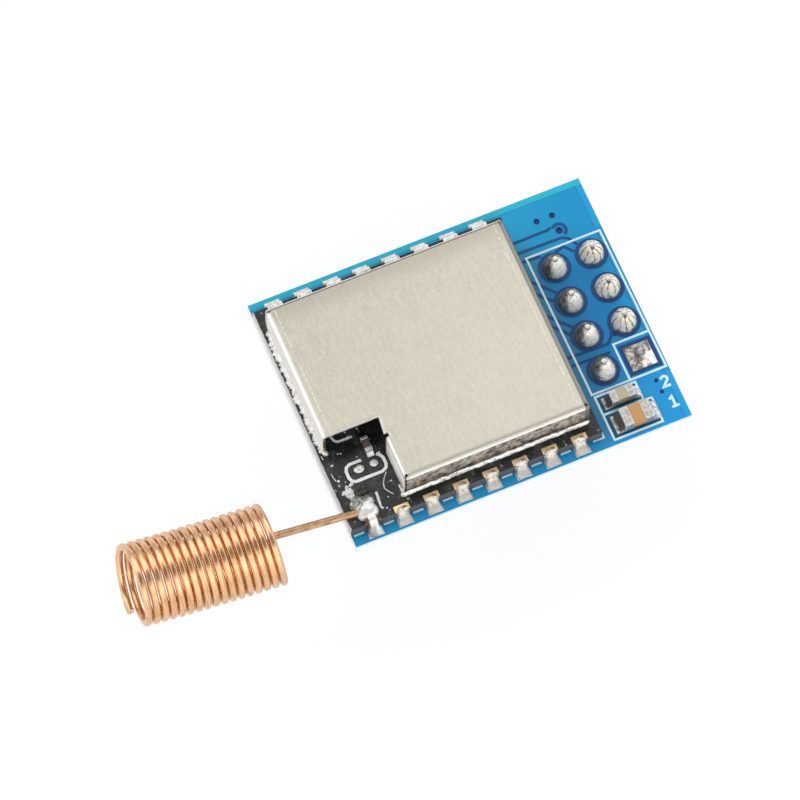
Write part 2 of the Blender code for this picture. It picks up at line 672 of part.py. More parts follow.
def strip_outline():
    """Outline of the two-row strip, nicked between positions so that it can be snapped."""
    half_x = PIN_PITCH * PIN_COLUMNS / 2
    front = HEADER_Y - PIN_PITCH * PIN_ROWS / 2
    points = []
    for side in (1, -1):
        for row in range(PIN_ROWS):
            base = row if side == 1 else PIN_ROWS - 1 - row
            low = front + PIN_PITCH * base
            high = low + PIN_PITCH
            first, second = (low, high) if side == 1 else (high, low)
            turn = STRIP_NOTCH if side == 1 else -STRIP_NOTCH
            points.append((HEADER_X + side * (half_x - STRIP_NOTCH), first))
            points.append((HEADER_X + side * half_x, first + turn))
            points.append((HEADER_X + side * half_x, second - turn))
            points.append((HEADER_X + side * (half_x - STRIP_NOTCH), second))
    cleaned = []
    for point in points:
        if not cleaned or (Vector(point) - Vector(cleaned[-1])).length > 0.001:
            cleaned.append(point)
    return cleaned


def header_strip():
    item = slab("header_insulator", strip_outline(), SEAT_Z, -CARRIER_THICKNESS)
    half = PIN_SIZE / 2 + PIN_CLEARANCE
    holes = []
    for index in range(PIN_ROWS * PIN_COLUMNS):
        x, y = pin_place(index)
        holes.append(box("hole", (x - half, y - half, SEAT_Z - OVERCUT),
                         (x + half, y + half, -CARRIER_THICKNESS + OVERCUT)))
    item = combine(item, group("holes", holes), "DIFFERENCE")
    return finish_piece(item, HEADER_BLACK)


def header_pin(name, x, y):
    """A square pin with a pyramid point at each end."""
    corner = PIN_SIZE / math.sqrt(2)
    tip = corner * PIN_TIP_SHARE
    bottom = SEAT_Z - PIN_LENGTH_BELOW
    profile = [(0.0, PIN_STAND_ABOVE), (tip, PIN_STAND_ABOVE), (corner, PIN_STAND_ABOVE - PIN_TIP_TAPER),
               (corner, bottom + PIN_TIP_TAPER), (tip, bottom), (0.0, bottom)]
    item = turned(name, x, y, profile, 4, 45)
    return finish_piece(item, PIN_METAL)


def pin_joint(name, x, y, square):
    """Solder drawn up round one pin from its land."""
    top = SOLDER_DOME_HEIGHT
    land = PIN_LAND_RADIUS - 0.02
    if square:
        corner = land * math.sqrt(2)
        profile = [(0.0, top * 0.86), (0.5, top * 0.82), (corner * 0.5, top * 0.62), (corner * 0.68, top * 0.4),
                   (corner * 0.86, COPPER + 0.16), (corner, COPPER), (0.0, COPPER)]
        item = turned(name, x, y, profile, 4, 45)
    else:
        profile = [(0.0, top), (0.3, top * 0.98), (0.45, top * 0.9), (land * 0.75, top * 0.68),
                   (land * 0.93, top * 0.4), (land, COPPER + 0.12), (land, COPPER), (0.0, COPPER)]
        item = turned(name, x, y, profile, 16, 11.25)
    half = PIN_SIZE / 2 + SOLDER_CLEARANCE
    hole = box("hole", (x - half, y - half, COPPER - OVERCUT), (x + half, y + half, top + OVERCUT))
    item = combine(item, hole, "DIFFERENCE")
    return finish_piece(item, SOLDER)


# Chips: a ceramic body between two plated ends, with a solder fillet at each end

def chip(prefix, size, x, y, base, end, along, body_look):
    """Body and two ends of a chip whose length runs along X or Y."""
    half = [size[0] / 2, size[1] / 2]
    names = ("left", "right") if along == 0 else ("front", "back")
    step = CHIP_EDGE * 0.4
    low = [x - half[0], y - half[1], base]
    high = [x + half[0], y + half[1], base + size[2]]
    body_low = list(low)
    body_high = list(high)
    body_low[along] += end
    body_high[along] -= end
    body_low[1 - along] += step
    body_high[1 - along] -= step
    body_high[2] -= step
    body = box(prefix + "_body", body_low, body_high)
    finish_piece(body, body_look)
    for side, name in zip((0, 1), names):
        end_low = list(low)
        end_high = list(high)
        if side == 0:
            end_high[along] = low[along] + end
        else:
            end_low[along] = high[along] - end
        cap = box(prefix + "_end_" + name, end_low, end_high)
        outer = low[along] if side == 0 else high[along]

        def worn(first, second, outer=outer):
            above = max(first.z, second.z) > base + 0.01
            on_end = abs(first[along] - outer) < 0.01 and abs(second[along] - outer) < 0.01
            on_top = min(first.z, second.z) > base + size[2] - 0.01
            return above and (on_end or on_top)

        round_edges(cap, CHIP_EDGE, worn, 2)
        finish_piece(cap, TIN_PLATE)


def end_fillet(name, face, side, across, width, base, height, reach, along):
    """A hollow wedge of solder from a chip's end down to its land."""
    start = face + side * SOLDER_CLEARANCE
    outline = [(start, base), (face + side * reach, base), (face + side * reach, base + height * 0.06),
               (face + side * reach * 0.6, base + height * 0.2), (face + side * reach * 0.3, base + height * 0.48),
               (face + side * reach * 0.12, base + height * 0.8), (start, base + height * 0.94)]
    if along == 0:
        item = slab(name, outline, across - width / 2, across + width / 2, "XZ")
    else:
        item = slab(name, outline, across - width / 2, across + width / 2, "YZ")
    return finish_piece(item, SOLDER)


def capacitors():
    looks = ("large_capacitor", "small_capacitor")
    for prefix, look, (size, x, y, end, reach) in zip(looks, (LARGE_CERAMIC, SMALL_CERAMIC), chip_lands()):
        chip(prefix, size, x, y, COPPER, end, 0, look)
        height = size[2] * FILLET_SHARE
        width = size[1] - CHIP_EDGE * 2
        end_fillet(prefix + "_fillet_left", x - size[0] / 2, -1, y, width, COPPER, height, reach, 0)
        end_fillet(prefix + "_fillet_right", x + size[0] / 2, 1, y, width, COPPER, height, reach, 0)


def radio_side_chips():
    y = RADIO_FRONT + NOTCH_CHIP_Y
    chip("notch_chip", NOTCH_CHIP, NOTCH_CHIP_X, y, RADIO_TOP, NOTCH_CHIP_END, 1, DARK_CERAMIC)
    end_fillet("notch_chip_fillet", y - NOTCH_CHIP[1] / 2, -1, NOTCH_CHIP_X, NOTCH_CHIP[0] - CHIP_EDGE,
               RADIO_TOP, NOTCH_CHIP[2] * FILLET_SHARE, NOTCH_FILLET_REACH, 1)
    spare = (("spare_pad_left", SPARE_PAD_LEFT, SPARE_PAD_LEFT_SIZE),
             ("spare_pad_right", SPARE_PAD_RIGHT, SPARE_PAD_RIGHT_SIZE))
    for name, (x, y), size in spare:
        bpy.ops.mesh.primitive_uv_sphere_add(segments=12, ring_count=8, radius=MM,
                                             location=place(x, RADIO_FRONT + y, RADIO_TOP))
        bump = bpy.context.active_object
        bump.name = name
        bump.data.transform(Matrix.Diagonal((*size, 1.0)))
        floor = box("floor", (x - 1.0, RADIO_FRONT + y - 1.0, RADIO_TOP - 1.0),
                    (x + 1.0, RADIO_FRONT + y + 1.0, RADIO_TOP))
        finish_piece(combine(bump, floor, "DIFFERENCE"), SOLDER)
    hidden = (("radio_chip", RADIO_CHIP_SIZE, RADIO_CHIP_PLACE, CHIP_BLACK),
              ("crystal", CRYSTAL_SIZE, CRYSTAL_PLACE, TIN_PLATE),
              ("matching_chip_1", MATCHING_CHIP_SIZE, MATCHING_CHIP_1_PLACE, DARK_CERAMIC),
              ("matching_chip_2", MATCHING_CHIP_SIZE, MATCHING_CHIP_2_PLACE, DARK_CERAMIC))
    for name, size, (x, y), look in hidden:
        item = box(name, (x - size[0] / 2, RADIO_FRONT + y - size[1] / 2, RADIO_TOP),
                   (x + size[0] / 2, RADIO_FRONT + y + size[1] / 2, RADIO_TOP + size[2]))

        def upper(first, second, top=RADIO_TOP + size[2]):
            return min(first.z, second.z) > top - 0.01

        round_edges(item, CHIP_EDGE, upper, 1)
        finish_piece(item, look)


carrier_board()
radio_board()
shield_can()
can_beads()
spring_antenna()
antenna_joint()
for number in range(1, CONTACTS_PER_SIDE):
    front_joint("edge_joint_front_%d" % (number + 1), number)
for number in range(CONTACTS_PER_SIDE):
    back_joint("edge_joint_back_%d" % (number + 1), number)
header_strip()
for number in range(PIN_ROWS * PIN_COLUMNS):
    pin_x, pin_y = pin_place(number)
    header_pin("header_pin_%d" % (number + 1), pin_x, pin_y)
    pin_joint("pin_joint_%d" % (number + 1), pin_x, pin_y, number == 0)
capacitors()
radio_side_chips()
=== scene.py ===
"""Looks of the radio module: board finishes, print, solder and wire around the CAD frame.

Board positions are in millimetres from the carrier board's front left corner: X runs to the
header end, Y to the back and Z up from the carrier's top face.
"""
import json
import math

import bmesh
import bpy
from mathutils import Matrix, Vector, noise


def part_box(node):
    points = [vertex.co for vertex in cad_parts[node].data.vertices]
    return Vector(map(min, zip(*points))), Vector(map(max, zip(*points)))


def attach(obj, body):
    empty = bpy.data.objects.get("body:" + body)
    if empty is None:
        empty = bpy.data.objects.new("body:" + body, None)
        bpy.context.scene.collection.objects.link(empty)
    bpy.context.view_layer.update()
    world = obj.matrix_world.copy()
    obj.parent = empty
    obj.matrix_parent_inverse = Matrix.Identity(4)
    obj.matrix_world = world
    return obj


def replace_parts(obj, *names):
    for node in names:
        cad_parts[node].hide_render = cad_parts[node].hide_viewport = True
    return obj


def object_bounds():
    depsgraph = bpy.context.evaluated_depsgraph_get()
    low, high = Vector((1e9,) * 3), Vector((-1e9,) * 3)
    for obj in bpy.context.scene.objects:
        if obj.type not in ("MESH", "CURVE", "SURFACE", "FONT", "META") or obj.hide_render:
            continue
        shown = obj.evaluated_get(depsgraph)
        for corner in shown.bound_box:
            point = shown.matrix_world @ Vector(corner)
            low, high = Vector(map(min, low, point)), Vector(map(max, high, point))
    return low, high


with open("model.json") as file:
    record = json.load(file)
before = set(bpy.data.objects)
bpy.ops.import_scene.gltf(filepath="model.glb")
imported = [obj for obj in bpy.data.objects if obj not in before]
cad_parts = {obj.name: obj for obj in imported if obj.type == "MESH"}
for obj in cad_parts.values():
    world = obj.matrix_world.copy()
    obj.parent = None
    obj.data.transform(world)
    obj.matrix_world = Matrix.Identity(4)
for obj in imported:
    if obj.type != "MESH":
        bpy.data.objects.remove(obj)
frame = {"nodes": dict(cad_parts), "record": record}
cad_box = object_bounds()

MM = 0.001
COPPER = 0.035
CONTACT_PITCH = 2.0
FIRST_CONTACT = 1.5
CONTACTS = 8
PIN_PITCH = 2.54
PINS = 8

# Centre and radius of the small vias on the carrier
VIAS = ((19.13, 15.97, 0.2), (20.21, 15.99, 0.2), (20.21, 14.85, 0.24), (20.57, 6.89, 0.13),
        (21.68, 3.0, 0.13), (21.70, 2.16, 0.13))

# Board painted darker round the two capacitors, partly mask over bare laminate and partly painted shade, as low
# and high X and Y
DARK_BOXES = ((17.74, 2.26, 20.34, 3.32), (17.74, 0.40, 20.86, 2.02))

# Centre and size of the dried spots on the black board
FLUX_SPOTS = ((0.59, 5.29, 0.14), (0.57, 4.18, 0.14), (1.23, 5.90, 0.08), (1.40, 5.85, 0.09),
              (2.25, 5.25, 0.07), (3.60, 2.95, 0.10), (3.01, 2.02, 0.08), (2.66, 1.38, 0.09),
              (1.80, 2.99, 0.09), (2.20, 7.05, 0.10), (2.99, 7.0, 0.10), (0.95, 3.95, 0.07),
              (3.65, 5.0, 0.08))

# Camera, measured from the photograph
CAMERA_AZIMUTH = -22.97
CAMERA_ELEVATION = 67.35
CAMERA_DISTANCE = 352.8
CAMERA_AIM = (6.36, 8.05)
CAMERA_LENS = 253.4

# Light: the level between the soft boxes, the level at the left and right, and each soft box's range
# of angles, softness and level
AMBIENT = 0.55
SIDES = 1.15
SOFT_BOXES = ((-56.0, -12.0, 6.0, 1.5), (-6.0, 24.0, 6.0, 0.2), (33.0, 74.0, 6.0, 1.6),
              (76.0, 96.0, 3.0, 1.1))

# Shield can: how far each wall stands further out than in the CAD node, and where the notch's wall is
CAN_LEFT_SHIFT = 0.08
CAN_RIGHT_SHIFT = 0.17
CAN_FRONT_SHIFT = 0.12
CAN_BACK_SHIFT = 0.13
NOTCH_WALL = 4.17
NOTCH_WALL_TOP = 5.6
NOTCH_WALL_SHIFT = 0.13
SHIFT_REACH = 0.9

# Height of the first pin's tip, hidden in its low square joint, and the heights between which the
# other tips come out of their solder
SQUARE_PIN_TOP = 0.85
TIP_LOW = 1.40
TIP_HIGH = 1.44

# Print: a strip's thickness, how much thicker each strip is than the one drawn before it, and the
# spacing of a strip's points
PRINT_THICKNESS = 0.014
PRINT_STEP = 0.0006
STRIP_STEP = 0.16

# How far the floor's sheet lies under the pins, in metres
FLOOR_GAP = 0.00005

# Wire of the spring antenna
WIRE_RADIUS = 0.235
COIL_RADIUS = 2.44
COIL_WIRE_PITCH = 0.543
COIL_TURNS = 17.09
COIL_START_TURN = -0.30
COIL_CENTRE = (-5.449, 1.077, 3.254)
COIL_CENTRE_TURN = 16.0
COIL_SWING = math.radians(-3.9)
COIL_BOW = 0.0139
LEAD_START = (-4.5, 2.25)
LEAD_END = (1.35, 1.62)
LEAD_LIFT = 0.02
TURN_POINTS = 48
BEND_POINTS = 16
LEAD_POINTS = 24

# Front joints: distance from the carrier's front edge, half width and crown height
FRONT_JOINT_ROWS = (
    (0.175, 0.46, 0.05), (0.21, 0.485, 0.08), (0.30, 0.485, 0.14), (0.40, 0.48, 0.27), (0.50, 0.465, 0.43),
    (0.60, 0.45, 0.60), (0.70, 0.44, 0.77), (0.78, 0.43, 0.90), (0.83, 0.425, 0.96), (0.90, 0.41, 1.02),
    (0.98, 0.37, 1.03), (1.05, 0.30, 0.99), (1.10, 0.20, 0.93), (1.13, 0.08, 0.88),
)

carrier_low, carrier_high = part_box("carrier_board")
radio_low, radio_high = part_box("radio_board")
can_low, can_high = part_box("shield_can")
FRONT_LEFT = Vector((carrier_low.x, carrier_low.y, radio_low.z - COPPER * MM))


def spot(x, y, z=0.0):
    """Board millimetres to the frame's metres."""
    return FRONT_LEFT + Vector((x, y, z)) * MM


def from_front(corner):
    """The frame's metres to board millimetres."""
    return (corner - FRONT_LEFT) / MM


CARRIER = from_front(carrier_high)
RADIO_LOW = from_front(radio_low)
RADIO = from_front(radio_high)
RADIO_TOP = RADIO.z - COPPER
CAN_LOW = from_front(can_low) - Vector((CAN_LEFT_SHIFT, CAN_FRONT_SHIFT, 0.0))
CAN = from_front(can_high) + Vector((CAN_RIGHT_SHIFT, CAN_BACK_SHIFT, 0.0))
NOTCH_SIDE = NOTCH_WALL - NOTCH_WALL_SHIFT
BOARD_TOPS = {"blue_board": 0.0, "black_board": RADIO_TOP}
PIN_PLACES = []
for number in range(1, PINS + 1):
    pin_low, pin_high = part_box("header_pin_%d" % number)
    pin_middle = from_front((pin_low + pin_high) / 2)
    PIN_PLACES.append((pin_middle.x, pin_middle.y))


# Node helpers; each adds to the tree that was opened last

current = {}


def connect(node, inputs):
    """Set a node's inputs; each is a value or another node's socket."""
    for key, value in inputs.items():
        if isinstance(value, bpy.types.NodeSocket):
            current["tree"].links.new(value, node.inputs[key])
        else:
            node.inputs[key].default_value = value


def add(kind, inputs=None, **settings):
    made = current["tree"].nodes.new(kind)
    for key, value in settings.items():
        setattr(made, key, value)
    connect(made, inputs or {})
    return made


def maths(operation, first, second=0.0):
    return add("ShaderNodeMath", {0: first, 1: second}, operation=operation).outputs[0]


def times(first, second):
    return maths("MULTIPLY", first, second)


def plus(first, second):
    return maths("ADD", first, second)


def minus(first, second):
    return maths("SUBTRACT", first, second)


def distance(first, second):
    return maths("ABSOLUTE", minus(first, second))


def vector_maths(operation, first, second=(0.0, 0.0, 0.0)):
    return add("ShaderNodeVectorMath", {0: first, 1: second}, operation=operation).outputs[0]


def blend(share, first, second):
    """A mix of two colours, each a socket or red, green and blue."""
    first, second = [(*side, 1.0) if isinstance(side, tuple) else side for side in (first, second)]
    return add("ShaderNodeMix", {0: share, 6: first, 7: second}, data_type="RGBA").outputs[2]


def blend_value(share, first, second):
    return add("ShaderNodeMix", {0: share, 2: first, 3: second}, data_type="FLOAT").outputs[0]


def ramp(value, low, high):
    """Nought at low, one at high and a soft slope between; low may be the larger."""
    made = add("ShaderNodeMapRange", {"Value": value, "From Min": low, "From Max": high},
               interpolation_type="SMOOTHSTEP")
    return made.outputs["Result"]


def window(value, low, high, soft):
    """One between two values, falling softly to nought outside them."""
    return times(ramp(value, low - soft, low + soft), ramp(value, high + soft, high - soft))


def apart(vector):
    return add("ShaderNodeSeparateXYZ", {0: vector}).outputs[:3]


def here():
    """The shaded point's X, Y and Z in board millimetres."""
    return apart(current["place"])


def grain(scale, detail=4.0, roughness=0.6, stretch=(1.0, 1.0, 1.0), place=None):
    """Noise over board millimetres, finer along the axes with a larger stretch."""
    drawn = add("ShaderNodeMapping", {"Vector": place or current["place"], "Scale": stretch}).outputs[0]
    made = add("ShaderNodeTexNoise",
               {"Vector": drawn, "Scale": scale, "Detail": detail, "Roughness": roughness})
    return made.outputs["Fac"]


def specks(spacing, size, share):
    """Small round specks: one in some cells of a Voronoi pattern."""
    made = add("ShaderNodeTexVoronoi",
               {"Vector": current["place"], "Scale": 1.0 / spacing, "Randomness": 1.0})
    near = ramp(made.outputs["Distance"], size / spacing, size * 0.6 / spacing)
    picked = add("ShaderNodeSeparateColor", {0: made.outputs["Color"]}).outputs[0]
    return times(near, maths("LESS_THAN", picked, share))


def true_normal():
    return add("ShaderNodeNewGeometry").outputs["True Normal"]


def facing(axis):
    """How far the flat face points along one axis."""
    return apart(true_normal())[axis]


def looks_along(axis):
    """One where the flat face looks along an axis, either way."""
    return maths("GREATER_THAN", maths("ABSOLUTE", facing(axis)), 0.5)


def bump(height, strength, depth, normal=None):
    inputs = {"Height": height, "Strength": strength, "Distance": depth * MM}
    if normal is not None:
        inputs["Normal"] = normal
    return add("ShaderNodeBump", inputs).outputs[0]


def soft_edges(radius):
    return add("ShaderNodeBevel", {"Radius": radius * MM}, samples=4).outputs[0]


def open_material(name):
    made = bpy.data.materials.new(name)
    made.use_nodes = True
    current.update(material=made, tree=made.node_tree)


def look(name):
    """Open a new material and find the shaded point in board millimetres."""
    open_material(name)
    moved = vector_maths("SUBTRACT", add("ShaderNodeTexCoord").outputs["Object"], FRONT_LEFT)
    scaled = add("ShaderNodeVectorMath", {0: moved, "Scale": 1 / MM}, operation="SCALE")
    current["place"] = scaled.outputs[0]


def surface(colour, roughness, normal, metallic=0.0, gloss=0.5, ior=1.5):
    """Set the open material's shader, and hand the material over."""
    connect(current["tree"].nodes["Principled BSDF"], {
        "Base Color": colour, "Roughness": roughness, "Normal": normal, "Metallic": metallic,
        "Specular IOR Level": gloss, "IOR": ior,
    })
    return current["material"]


# Materials

def solder_colours():
    """Colour, roughness and height of bright solder, shared by joints and tinned lands."""
    colour = blend(grain(3.0, 5.0), (0.56, 0.54, 0.49), (0.82, 0.81, 0.78))
    rough = add("ShaderNodeMapRange", {"Value": grain(6.0), "To Min": 0.2, "To Max": 0.45})
    return colour, rough.outputs[0], grain(9.0, 5.0, 0.65)


def blue_board_look():
    """Blue mask over copper with painted light and shade on it, bare at the border, pale laminate edges, tinned
    lands.
    """
    look("blue_mask_board")
    x, y, z = here()
    # Painted light: the mask lighter towards the back, lighter to the right at the front and darker to the
    # right at the back.
    near = blend(ramp(x, 14.0, 22.5), (0.006, 0.28, 0.57), (0.010, 0.32, 0.71))
    far = blend(ramp(x, 16.0, 22.0), (0.010, 0.38, 0.68), (0.006, 0.31, 0.62))
    pour_with_painted_light = blend(ramp(y, 0.0, CARRIER.y), near, far)
    # Painted shade of the pin domes darkens the header's area.
    header = times(window(x, 17.5, 21.5, 0.8), window(y, 3.6, 13.0, 1.2))
    pour_with_painted_light = blend(header, pour_with_painted_light, (0.005, 0.225, 0.54))
    # Painted shade on the board beside the can.
    shaded = times(window(x, 16.4, 18.0, 0.35), window(y, 0.6, 14.6, 0.7))
    pour_with_painted_light = blend(times(shaded, 0.32), pour_with_painted_light, (0.07, 0.08, 0.02))
    inset = maths("MINIMUM", minus(CARRIER.y, y), minus(CARRIER.x, x))
    behind = ramp(minus(CARRIER.y, y), 0.48, 0.40)
    lighter = blend(window(y, 3.4, 14.1, 0.1), (0.010, 0.42, 0.86), (0.010, 0.24, 0.50))
    mask = blend(times(ramp(inset, 0.46, 0.40), 0.45), pour_with_painted_light, lighter)
    mask = blend(behind, mask, (0.02, 0.50, 0.70))
    rim = times(ramp(inset, 0.38, 0.43), ramp(inset, 0.50, 0.45))
    mask = blend(times(rim, 0.4), mask, (0.005, 0.10, 0.25))
    # Darker round the capacitors: partly mask over bare laminate, partly painted shade.
    for low_x, low_y, high_x, high_y in DARK_BOXES:
        inside = times(window(x, low_x, high_x, 0.05), window(y, low_y, high_y, 0.05))
        mask = blend(times(inside, 0.85), mask, (0.006, 0.05, 0.085))
    mask = blend(specks(1.1, 0.05, 0.22), mask, (0.75, 0.85, 0.9))
    weave = grain(1.0, 3.0, 0.6, (2.0, 2.0, 16.0))
    laminate = blend(weave, (0.86, 0.90, 0.91), (1.0, 1.0, 1.0))
    upper = times(ramp(z, -0.42, 0.0), ramp(x, 0.02, 0.1))
    laminate = blend(times(upper, 0.9), laminate, (0.44, 0.68, 0.78))
    flat = looks_along(2)
    base = blend(flat, laminate, mask)
    metal = maths("GREATER_THAN", z, COPPER * 0.4)
    tin, tin_rough, tin_height = solder_colours()
    under_domes = times(window(x, 17.6, 22.4, 0.1), window(y, 3.9, 13.7, 0.1))
    tin = blend(times(under_domes, 0.85), tin, (0.05, 0.07, 0.09))
    base = blend(metal, base, tin)
    rough = blend_value(metal, blend_value(flat, 0.75, 0.24), tin_rough)
    height = plus(grain(2.5, 3.0), times(tin_height, metal))
    return surface(base, rough, bump(height, 0.25, 0.03, soft_edges(0.03)), metallic=metal, gloss=0.2)


def black_board_look():
    """Black mask with smears and with specks that are partly dust and partly painted glints, grey laminate
    edges and gold lands.
    """
    look("black_mask_board")
    x, y, z = here()
    smear = ramp(grain(0.9, 5.0, 0.7), 0.45, 0.75)
    mask = blend(smear, (0.020, 0.021, 0.022), (0.085, 0.088, 0.088))
    wisps = ramp(grain(2.4, 6.0, 0.85, (1.0, 0.5, 1.0)), 0.575, 0.67)
    mask = blend(times(wisps, 0.8), mask, (0.38, 0.38, 0.37))
    # White specks: partly dust, partly painted glints of the glossy flux.
    dust_and_glints = maths("MAXIMUM", specks(0.42, 0.04, 0.4), specks(0.9, 0.07, 0.3))
    mask = blend(dust_and_glints, mask, (0.72, 0.72, 0.70))
    bare = ramp(plus(x, times(grain(4.0), 0.12)), 0.15, 0.10)
    laminate = blend(grain(7.0, 5.0, 0.8), (0.32, 0.31, 0.29), (0.86, 0.85, 0.82))
    mask = blend(bare, mask, laminate)
    weave = grain(1.2, 4.0, 0.7, (2.0, 2.0, 14.0))
    front = blend(weave, (0.05, 0.05, 0.055), (0.16, 0.16, 0.17))
    raw = blend(weave, (0.50, 0.49, 0.46), (0.90, 0.89, 0.86))
    ends = looks_along(0)
    left = times(ends, maths("LESS_THAN", x, 1.0))
    tab = times(ends, ramp(y, 15.1, 15.3))
    side = blend(maths("MAXIMUM", left, tab), front, raw)
    flat = looks_along(2)
    base = blend(flat, side, mask)
    metal = maths("GREATER_THAN", z, RADIO_TOP + COPPER * 0.4)
    gold = blend(grain(3.0, 4.0), (0.86, 0.58, 0.26), (0.98, 0.78, 0.45))
    base = blend(metal, base, gold)
    rough = blend_value(flat, 0.6, blend_value(smear, 0.22, 0.5))
    rough = blend_value(metal, rough, 0.3)
    return surface(base, rough, bump(grain(5.0, 4.0), 0.25, 0.03, soft_edges(0.03)), metallic=metal,
                   gloss=0.28)


def sheet_metal_look():
    """Nickel-silver sheet: grained lid with rubbed lines near its folds and painted light and shade across it,
    soft folds with painted highlights and shade, and mottled walls with a painted reflection of the board and a
    painted highlight band.
    """
    look("sheet_metal_can")
    x, y, z = here()
    rounded = soft_edges(0.3)
    lid = ramp(apart(rounded)[2], 0.90, 0.985)
    fine = grain(2.2, 6.0, 0.75, (3.2, 0.5, 1.0))
    mottle = grain(4.5, 5.0, 0.8)
    shade = plus(times(fine, 0.5), times(mottle, 0.5))
    tone = blend(ramp(shade, 0.18, 0.82), (0.38, 0.36, 0.30), (0.66, 0.63, 0.54))
    tone = blend(times(ramp(grain(0.3, 3.0), 0.35, 0.7), 0.35), tone, (0.60, 0.54, 0.45))
    # Painted light: the lid lighter towards the right and the front.
    painted_light_share = plus(times(ramp(x, 1.0, 16.0), 0.14), times(ramp(y, 16.0, 4.0), 0.16))
    tone = blend(painted_light_share, tone, (0.80, 0.76, 0.64))
    # Painted shade: the lid darker towards the back.
    behind = times(ramp(y, 13.9, 15.6), 0.5)
    tone = blend(behind, tone, (0.36, 0.33, 0.27))
    tone = blend(specks(0.75, 0.04, 0.3), tone, (0.92, 0.92, 0.90))
    tone = blend(specks(1.3, 0.035, 0.2), tone, (0.22, 0.19, 0.15))
    rubs = []
    for level, width in ((CAN_LOW.x + 0.57, 0.035), (CAN.x - 0.68, 0.03)):
        rubs.append(ramp(distance(x, level), width, 0.01))
    broken = ramp(grain(5.0, 4.0, 0.8), 0.46, 0.56)
    rub = times(maths("MAXIMUM", *rubs), broken)
    tone = blend(rub, tone, (0.88, 0.85, 0.76))
    wall = blend(grain(1.3, 5.0, 0.7, (1.0, 1.0, 2.0)), (0.62, 0.58, 0.52), (0.96, 0.95, 0.92))
    # Painted reflection: the board in front, dark and mottled, over the lower part of the front wall.
    edge = plus(z, times(grain(1.1, 5.0, 0.75), 0.9))
    shadowed = ramp(edge, CAN.z + 0.50, CAN.z + 0.16)
    frontward = ramp(facing(1), -0.6, -0.9)
    mirrored = blend(ramp(grain(3.0, 6.0, 0.8), 0.36, 0.62), (0.07, 0.06, 0.055), (0.62, 0.56, 0.49))
    wall = blend(times(shadowed, frontward), wall, mirrored)
    outer = times(frontward, maths("LESS_THAN", y, CAN_LOW.y + 0.5))
    # Painted highlight: a bright band along the top of the front wall.
    highlight_band = times(outer, ramp(z, CAN.z - 0.44, CAN.z - 0.32))
    wall = blend(highlight_band, wall, (0.90, 0.88, 0.83))
    # Painted shade: a black stripe where the corner slit's dark gap shows.
    slit_shade = times(window(x, NOTCH_SIDE + 0.06, NOTCH_SIDE + 0.14, 0.015), outer)
    wall = blend(slit_shade, wall, (0.01, 0.01, 0.01))
    base = blend(lid, wall, tone)
    top = ramp(z, CAN.z - 0.30, CAN.z - 0.14)
    # Painted highlight: the left fold white.
    left_fold_highlight = ramp(apart(rounded)[0], -0.12, -0.4)
    base = blend(times(left_fold_highlight, top), base, (1.0, 1.0, 0.99))
    front = minus(y, CAN_LOW.y)
    # Painted shade on the front fold.
    fold = times(window(front, -0.05, 0.22, 0.04), top)
    base = blend(fold, base, (0.66, 0.63, 0.57))
    # Painted shade: a dark line along the front fold.
    line = times(window(front, 0.10, 0.19, 0.05), top)
    base = blend(times(line, 0.5), base, (0.24, 0.19, 0.13))
    # Painted shade: a dark line along the fold beside the notch.
    beside = minus(x, NOTCH_SIDE)
    line = times(window(beside, 0.20, 0.25, 0.03), ramp(y, 5.3, 5.1))
    base = blend(times(line, 0.5), base, (0.24, 0.19, 0.13))
    right = minus(CAN.x, x)
    # Painted shade on the right fold, with a darker line along it.
    base = blend(ramp(right, 0.38, 0.32), base, (0.32, 0.31, 0.28))
    base = blend(window(right, 0.24, 0.28, 0.03), base, (0.17, 0.16, 0.13))
    back = minus(CAN.y, y)
    # Painted shade in a dark line before the back fold, and a painted highlight on the fold.
    base = blend(window(back, 0.15, 0.22, 0.03), base, (0.14, 0.12, 0.09))
    base = blend(ramp(back, 0.13, 0.09), base, (1.0, 0.99, 0.97))
    rough = blend_value(lid, 0.32, 0.38)
    height = blend_value(lid, times(grain(1.6, 4.0), 4.0), fine)
    upright = ramp(maths("ABSOLUTE", facing(2)), 0.15, 0.0)
    sideward = ramp(maths("ABSOLUTE", facing(0)), 0.4, 0.9)
    draft = blend_value(grain(1.4, 4.0, 0.7), 0.05, 0.5)
    draft = times(upright, plus(draft, times(sideward, 0.45)))
    draft = blend_value(highlight_band, draft, 0.9)
    rise = add("ShaderNodeCombineXYZ", {2: draft}).outputs[0]
    leaning = vector_maths("NORMALIZE", vector_maths("ADD", rounded, rise))
    return surface(base, rough, bump(height, 0.2, 0.05, leaning), metallic=1.0)


def solder_look(name, paint, metallic=0.5):
    """Solder with a slightly crazed skin; the paint function turns its plain colour into the final one."""
    look(name)
    colour, rough, height = solder_colours()
    return surface(paint(colour), rough, bump(height, 0.4, 0.04), metallic=metallic)


def distance_from(x, y, centre_x, centre_y):
    away_x = minus(x, centre_x)
    away_y = minus(y, centre_y)
    return maths("SQRT", plus(times(away_x, away_x), times(away_y, away_y)))


def paint_bright(colour):
    flecks = ramp(grain(3.5, 6.0, 0.8), 0.55, 0.63)
    bright = blend(0.75, colour, (1.0, 0.99, 0.97))
    return blend(times(flecks, 0.8), bright, (0.05, 0.05, 0.05))


